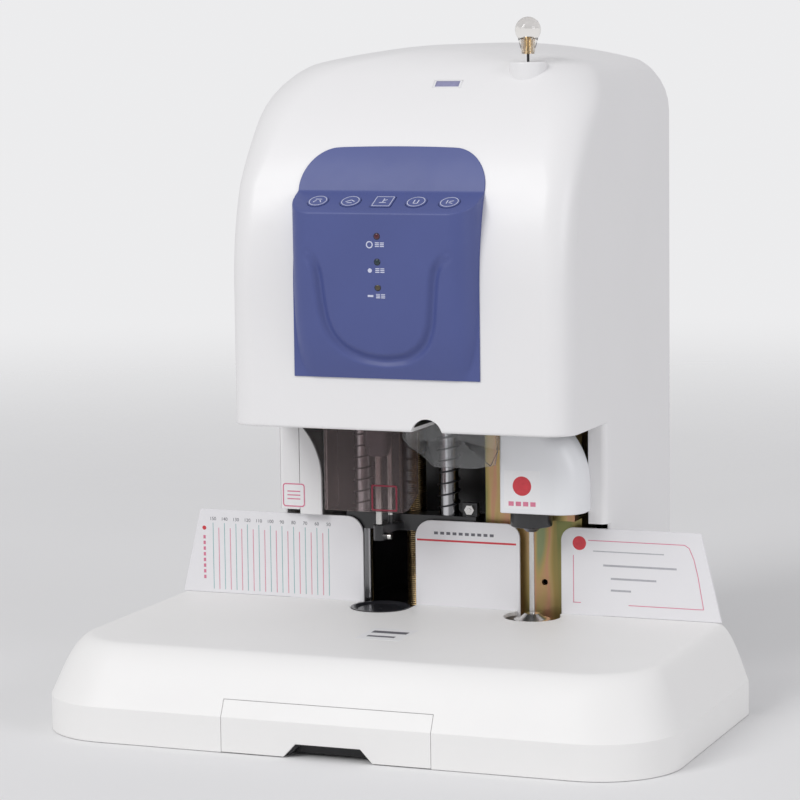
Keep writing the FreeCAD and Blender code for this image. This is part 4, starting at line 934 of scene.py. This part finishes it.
def keys():
    profile = ((-3.7, 0.0), (-0.2, 0.0), (-0.05, 0.05), (0.0, 0.2))     # height and inset of the cap's rings
    for k in KEYS:
        number, matrix = k + 3, key_frame(k)
        body = "key_%d" % number
        rings = [key_ring(k, KEY_R - inset, z, 1.2) for z, inset in profile]
        place(tidy(loft("key_cap_%d" % number, rings, KEY_BLUE), 0.0, 50.0), body, "key_blue", body)
        outer, inner = circle(6.9, 0.0), circle(6.35, 0.0)
        if k == 0:
            outer, inner = rounded_square(7.05, 0.8, 0.0), rounded_square(6.5, 0.5, 0.0)
        place(band("key_ring_%d" % number, outer, inner, matrix, INK_WHITE), body, "key_blue")
        for i, (x, y, length, angle) in enumerate(KEY_MARKS[k]):
            mark = stroke("key_mark_%d_%d" % (number, i), x, y, length, 0.8, angle, matrix, INK_WHITE)
            place(mark, body, "key_blue")


def lamp_look(name, colour):
    n = Nodes("lamp_" + name)
    n.bump(n.noise(400.0, 1.0), 0.00002, 0.3)
    return n.surface({"Base Color": n.mottled(n.noise(900.0, 1.0), colour, 0.3), "Roughness": 0.12,
                      "Coat Weight": 0.6})


def lamps():
    pitch = (LAMPS_HI.z - LAMPS_LO.z - 2 * LENS_EDGE) / 2
    profile = ((-4.0, LENS_R), (-0.2, LENS_R), (0.2, 1.95), (0.4, 1.5), (0.5, 0.6))
    for i, (name, colour) in enumerate(LED_COLOURS):
        z = LAMPS_HI.z - LENS_EDGE - pitch * i
        facing = facing_front(PANEL_X, panel_depth(PANEL_X, z), z)
        dome = [shift(circle(r, h, 32), facing) for h, r in profile]
        lens = tidy(loft("lamp_" + name, dome, lamp_look(name, colour)), 0.0, 60.0)
        place(lens, "chassis", "lamp_lens")
        if i == 0:
            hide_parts("lamp_lenses")
        rim = band("lamp_rim_" + name, circle(2.6, -0.05, 32), circle(LENS_R, -0.05, 32), facing, BLACK, 0.12)
        place(rim, "chassis", "black_plastic")


def lamp_marks():
    """Small printed marks under the lamps: a ring, a dot and a bar, each with a caption of short bars."""
    bars = [(dx, dy) for dx in (6.0, 9.9) for dy in (-1.2, 0.1, 1.4)]
    x = PANEL_X - 5.9
    for i, z in enumerate((358.4, 339.4, 320.6)):
        facing = facing_front(x, panel_depth(x, z) - 0.02, z)
        if i == 0:
            mark = band("mark_ring", circle(2.7, 0.0, 32), circle(1.85, 0.0, 32), facing, INK_WHITE)
        elif i == 1:
            mark = disc("mark_dot", 1.6, facing, INK_WHITE)
        else:
            mark = stroke("mark_bar", 0, 0, 4.4, 1.5, 0, facing, INK_WHITE)
        place(mark, "chassis", "panel_blue")
        for j, (dx, dy) in enumerate(bars):
            bar = stroke("mark_caption_%d_%d" % (i, j), dx, dy, 3.2, 0.7, 0, facing, INK_WHITE)
            place(bar, "chassis", "panel_blue")


# ---- paper guide and its print
NOTCHES = ((DRILL.x + 1.2, 22.0, 13.5), (RIVET.x + 1.0, 16.8, 10.5))     # x, half width, radius of the flare
TONGUE_HW, TONGUE_FOOT = 130.0, 6.0
INK_LIFT = 0.05
SCALE_FIRST, SCALE_LAST, SCALE_STEP = 50, 150, 5
NOTE_FRAME = ((105.9, 106.5, 78.2, 115.0), (118.0, 194.0, 126.6, 127.2), (106.0, 112.0, 78.2, 78.8),
              (150.0, 201.0, 78.0, 78.6))
NOTE_SIDE = ((194.0, 127.0), (197.8, 124.6), (201.5, 116.1), (204.6, 103.3), (209.0, 78.4), (201.0, 78.2))
NOTE_LINES = ((122, 178, 118.4, 0.8), (130, 188, 107.4, 1.5), (136, 172, 97.4, 1.5), (136, 152, 88.4, 1.5))


def printed(obj, node=None):
    """Fix the guide, or a print or label, to the chassis."""
    return place(obj, "chassis", "guide_cream", node)


def paper_guide():
    top, bottom, foot = GUIDE_HI.z, TABLE_Z - 22, TABLE_Z + 0.1
    points = [(GUIDE_LO.x, foot), (-TONGUE_HW, foot), (-TONGUE_HW, TONGUE_FOOT)]
    points += [(TONGUE_HW, TONGUE_FOOT), (TONGUE_HW, foot), (GUIDE_HI.x, foot)]
    half_top = GUIDE_HI.x - 15.5
    points += arc(half_top - 2, top - 2, 2.0, 14, 90, 5)
    for x, hw, r in reversed(NOTCHES):
        points += arc(x + hw + r, top - r, r, 90, 180)
        points += [(x + hw, bottom), (x - hw, bottom)]
        points += arc(x - hw - r, top - r, r, 0, 90)
    points += arc(-half_top + 2, top - 2, 2.0, 90, 166, 5)
    guide = sheet_outline("guide_plate", points, GUIDE_LO.y, GUIDE_HI.y, GUIDE_WHITE)
    tidy(guide, 0.35, 40.0, 2)
    printed(guide, "paper_guide")


def guide_mark(name, x0, x1, z0, z1, look):
    printed(block(name, x0, x1, GUIDE_LO.y - INK_LIFT, GUIDE_LO.y + 0.2, z0, z1, look))


def guide_label(text, x, z, size):
    curve = bpy.data.curves.new("scale_" + text, "FONT")
    curve.body = text
    curve.size = size * MM
    curve.align_x = curve.align_y = "CENTER"
    curve.extrude = 0.03 * MM
    curve.materials.append(INK_GREY)
    label = add_object("scale_" + text, curve)
    label.matrix_world = facing_front(*(Vector((x, GUIDE_LO.y - INK_LIFT, z)) * MM))
    printed(label)


def guide_scale():
    for value in range(SCALE_FIRST, SCALE_LAST + 1, SCALE_STEP):
        x = DRILL.x - value
        if value % 10:
            guide_mark("line_%d" % value, x - 0.28, x + 0.28, 72.0, 121.6, INK_PINK)
        else:
            guide_mark("line_%d" % value, x - 0.28, x + 0.28, 72.0, 125.4, INK_TEAL)
            guide_label(str(value), x, 128.6, 3.8)


def guide_print():
    guide_scale()
    guide_mark("stack_limit", -21.7, 59.9, 119.9, 121.4, INK_RED)
    for i in range(10):
        guide_mark("caption_dash_%d" % i, -7.4 + 5.1 * i, -4.2 + 5.1 * i, 125.4, 127.6, INK_GREY)
    for i in range(8):
        guide_mark("margin_dash_%d" % i, -204.9, -202.9, 80.0 + 4.6 * i, 82.8 + 4.6 * i, INK_PINK)
    printed(disc("margin_spot", 1.7, facing_front(-203.9, GUIDE_LO.y, 121.0), INK_RED))
    printed(disc("note_spot", 5.4, facing_front(111.0, GUIDE_LO.y, 124.4), INK_RED))
    for i, edges in enumerate(NOTE_FRAME):
        guide_mark("note_frame_%d" % i, *edges, INK_PINK)
    for i, ((xa, za), (xb, zb)) in enumerate(zip(NOTE_SIDE, NOTE_SIDE[1:])):
        length, angle = dist((xa, za), (xb, zb)), degrees(atan2(zb - za, xb - xa))
        facing = facing_front((xa + xb) / 2, GUIDE_LO.y, (za + zb) / 2)
        printed(stroke("note_side_%d" % i, 0, 0, length, 0.6, angle, facing, INK_PINK))
    for i, (x0, x1, z, tall) in enumerate(NOTE_LINES):
        guide_mark("note_line_%d" % i, x0, x1, z, z + tall, INK_PALE)


# ---- stickers
def sticker(name, x0, x1, z0, z1, y, rim, fill=LABEL, rim_width=1.1, r=2.4):
    """Rounded label facing the operator, with a printed border and nothing written on it."""
    half = (x1 - x0) / 2
    stretch = Matrix.Diagonal((1.0, (z1 - z0) / (x1 - x0), 1.0, 1.0))
    facing = facing_front((x0 + x1) / 2, y, (z0 + z1) / 2) @ stretch
    if fill:
        rings = [shift(rounded_square(half, r, h), facing) for h in (-0.1, 0.12)]
        printed(tidy(loft(name + "_base", rings, fill)))
    outer = rounded_square(half - 0.3, r, 0.12)
    inner = rounded_square(half - 0.3 - rim_width, r * 0.7, 0.12)
    printed(band(name + "_rim", outer, inner, facing, rim, 0.04))


def stickers():
    sticker("neck_label", -131.6, -112.2, 142.6, 161.8, NECK_FRONT, INK_PINK, rim_width=1.0)
    sticker("guard_label", -39.3, -17.6, 149.8, 170.4, GUARD_LO.y, INK_DARK_RED, None, 1.3, 1.2)
    facing = facing_front(-121.9, NECK_FRONT - 0.12, 152.2)
    for i, dy in enumerate((3.0, 0.0, -3.0)):
        printed(stroke("neck_label_bar_%d" % i, 0, dy, 11.0, 0.9, 0, facing, INK_PINK))
    x0, x1, foot, front = 64.2, 92.6, 154.8, NOSE_LO.y - 0.12
    printed(tidy(block("nose_label", x0, x1, front, NOSE_LO.y + 0.2, foot, 184.0, LABEL), 0.08))
    facing = facing_front((x0 + x1) / 2, front, foot + 17.5)
    printed(disc("nose_label_spot", 7.4, facing, INK_RED))
    for i, dx in enumerate((-8.7, -2.9, 2.9, 8.7)):
        printed(stroke("nose_label_bar_%d" % i, dx, -13.6, 4.2, 3.4, 0, facing, INK_PINK))


def table_plate():
    """Small plate let into the paper table, with two plain bars."""
    plate = block("table_label", -19.0, 16.5, -99.0, -58.0, TABLE_Z - 0.3, TABLE_Z + 0.12, LABEL)
    printed(tidy(plate, 0.08))
    for i, edges in enumerate(((-15.0, 13.0, -75.5, -67.5), (-13.0, 9.0, -90.0, -85.0))):
        bar = block("table_label_bar_%d" % i, *edges, TABLE_Z, TABLE_Z + 0.16, INK_GREY)
        printed(tidy(bar, 0.04))


# ---- mechanism in view
def helix_wire(name, x, y, z0, z1, mean_r, wire_r, turns):
    steps, sides = 40, 10
    rings = []
    count = int(turns * steps)
    for i in range(count + 1):
        t = 2 * pi * i / steps
        z = z0 + wire_r + (z1 - z0 - 2 * wire_r) * i / count
        ring = []
        for k in range(sides):
            a = 2 * pi * k / sides
            r = mean_r + wire_r * cos(a)
            ring.append((x + r * cos(t), y + r * sin(t), z + wire_r * sin(a)))
        rings.append(ring)
    wire = loft(name, rings, SPRING)
    wire.data.shade_smooth()
    return wire


def post_springs():
    """Springs on the guide posts."""
    post_r, wire_r, turns = 7.5, 0.65, 9.5
    mean_r = post_r + 0.25 + wire_r
    y = (SPRING_LO.y + SPRING_HI.y) / 2
    outer = (SPRING_HI.y - SPRING_LO.y) / 2
    for name, x in (("left", SPRING_LO.x + outer), ("right", SPRING_HI.x - outer)):
        wire = helix_wire("spring_" + name, x, y, SPRING_LO.z, SPRING_HI.z, mean_r, wire_r, turns)
        place(wire, "presser", "spring_steel", "post_springs")
        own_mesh(wire)


def needle_spring():
    """Spring in the cup under the die."""
    low, high = mm_box("needle_spring")
    wire_r, turns, dip = 0.45, 5, 6.0
    x, y = (low.x + high.x) / 2, (low.y + high.y) / 2
    wire = helix_wire("needle_coil", x, y, low.z, high.z, (high.x - low.x) / 2 - wire_r, wire_r, turns)
    place(wire, "chassis", "spring_steel", "needle_spring")
    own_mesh(wire)


def lead_screw():
    """Five-start screw: the crest winds up at 8 mm a turn, crests 1.6 mm apart."""
    x, y = (SCREW_LO.x + SCREW_HI.x) / 2, (SCREW_LO.y + SCREW_HI.y) / 2
    crest, depth, lead, starts, sides, step, neck = 8.0, 0.7, 8.0, 5, 40, 0.4, 5.0
    z0, z1 = SCREW_LO.z + 5, SCREW_HI.z - 14
    count = int((z1 - z0) / step)
    rings = [round_ring(x, y, SCREW_LO.z, neck, sides), round_ring(x, y, z0 - 0.1, neck, sides)]
    for i in range(count + 1):
        z = z0 + (z1 - z0) * i / count
        ring = []
        for k in range(sides):
            t = 2 * pi * k / sides
            r = crest - depth * (0.5 + 0.5 * cos(2 * pi * starts * z / lead - starts * t))
            ring.append((x + r * cos(t), y + r * sin(t), z))
        rings.append(ring)
    rings += [round_ring(x, y, z1 + 0.1, neck, sides), round_ring(x, y, SCREW_HI.z, neck, sides)]
    screw = loft("screw_thread", rings, SCREW_BRASS)
    screw.data.materials.append(SCREW_VALLEY_SHADE)
    # faces low in the valleys take the dark look, painted shade in the thread
    for face in screw.data.polygons:
        reach = hypot(face.center.x / MM - x, face.center.y / MM - y)
        face.material_index = int(crest - depth < reach < crest - 0.45 * depth)
    tidy(screw, 0.0, 60.0)
    place(screw, "lift_screw", "screw_brass", "lead_screw")


ROD_X, ROD_Y, ROD_R = -41.5, 33.5, 2.03
ROD_FOOT, ROD_TOP = 139.9, 215.8


def steering_rod():
    """Ground skin of the slim rod that stands on the presser."""
    profile = ((ROD_FOOT, ROD_R), (ROD_TOP - 0.4, ROD_R), (ROD_TOP, 1.7))
    rod = tidy(turned("steering_rod", ROD_X, ROD_Y, profile, BRIGHT, 32))
    place(rod, "presser", "bright_steel")


def head_badge():
    """Blank plate on the sweep of the head."""
    x0, x1, z0, z1 = 9.0, 32.0, 470.8, 476.4
    rows, columns = 7, 9
    for name, inset, lift, look in (("badge_rim", 0.0, 0.10, LABEL), ("badge_face", 2.0, 0.22, INK_BLUE)):
        verts = []
        for i in range(rows):
            z = z0 + 0.4 * inset + (z1 - z0 - 0.8 * inset) * i / (rows - 1)
            verts += [(x0 + inset + (x1 - x0 - 2 * inset) * j / (columns - 1), head_front(z) - lift, z)
                      for j in range(columns)]
        badge = add_mesh(name, verts, grid_faces(rows, columns), look)
        modify(badge, "SOLIDIFY", thickness=0.3 * MM, offset=0.0)
        applied(badge)
        badge.data.shade_smooth()
        place(badge, "chassis", "cover_white")


def knob_core():
    """Bright bead of the ferrule seen through the clear bulb."""
    profile = [(FERRULE_TOP - drop, r) for drop, r in ((7.8, 2.0), (5.5, 2.1), (3.0, 1.6), (1.2, 0.8))]
    core = tidy(turned("knob_core", RIVET.x, RIVET.y, profile, FERRULE_BRASS, 24), 0.0, 50.0)
    place(core, "tube_pusher", "ferrule_brass")


# ---- floor and light
FLOOR_TONE = (0.80, 0.80, 0.803)
BACK_TONE = (0.84, 0.84, 0.85, 1.0)
STUDIO_TONE, STUDIO_STRENGTH = (0.985, 0.98, 1.0, 1.0), 0.56
FLOOR_HALF = 6000.0
FADE_FROM, FADE_TO = 0.9, 3.2       # metres from the middle, where the floor gives way to the backdrop's tone


def floor():
    n = Nodes("floor_pale")
    n.surface({"Base Color": n.mottled(n.noise(3.0, 2.0), FLOOR_TONE, 0.01), "Roughness": 0.9,
               "Specular IOR Level": 0.1})
    reach = n.add("ShaderNodeVectorMath", {0: n.coords}, operation="LENGTH")
    fade = n.add("ShaderNodeMapRange", {"Value": reach.outputs["Value"], "From Min": FADE_FROM,
                                        "From Max": FADE_TO}, interpolation_type="SMOOTHSTEP")
    gone = n.add("ShaderNodeBsdfTransparent")
    n.blend("Material Output", fade.outputs["Result"], n.bsdf.outputs["BSDF"], gone.outputs["BSDF"])
    corners = [(x * FLOOR_HALF, y * FLOOR_HALF, 0) for x, y in ((-1, -1), (1, -1), (1, 1), (-1, 1))]
    ground = add_mesh("floor", corners, [(0, 1, 2, 3)], n.mat)


def lamp(name, place_at, aim, size, power, colour=(1.0, 1.0, 1.0)):
    data = bpy.data.lights.new(name, "AREA")
    data.shape = "DISK"
    data.size = size
    data.energy = power
    data.color = colour
    light = add_object(name, data)
    light.location = place_at
    light.rotation_euler = (Vector(aim) - Vector(place_at)).to_track_quat("-Z", "Y").to_euler()


def backdrop_world():
    """Even studio light; seen directly or through clear pieces, the backdrop has the lit floor's tone."""
    world = bpy.data.worlds.new("studio")
    world.use_nodes = True
    n = Tree(world.node_tree)
    light = n.tree.nodes["Background"]
    n.feed(light, {"Color": STUDIO_TONE, "Strength": STUDIO_STRENGTH})
    seen = n.add("ShaderNodeBackground", {"Color": BACK_TONE})
    path = n.add("ShaderNodeLightPath").outputs
    rays = {0: path["Is Camera Ray"], 1: path["Is Transmission Ray"]}
    either = n.add("ShaderNodeMath", rays, operation="MAXIMUM")
    n.blend("World Output", either.outputs["Value"], light.outputs["Background"], seen.outputs["Background"])
    bpy.context.scene.world = world


def lighting():
    backdrop_world()
    lamp("key", (-2.4, -4.9, 4.2), (0, 0, 0.22), 3.0, 166.0)
    lamp("top", (-0.4, -2.6, 5.0), (0, -0.1, 0.1), 2.6, 14.0)
    lamp("fill", (5.2, -1.5, 2.2), (0, 0, 0.2), 3.0, 64.0, (0.97, 0.97, 1.0))


def build():
    add_camera()
    floor()
    lighting()
    dress_nodes()
    base_shell()
    drawer_front()
    head_cover()
    neck_cheek()
    nose_cover()
    smoked_guard()
    control_panel()
    keys()
    lamps()
    lamp_marks()
    paper_guide()
    guide_print()
    stickers()
    table_plate()
    post_springs()
    needle_spring()
    lead_screw()
    steering_rod()
    head_badge()
    knob_core()
    bpy.context.scene.view_settings.view_transform = "Standard"


build()
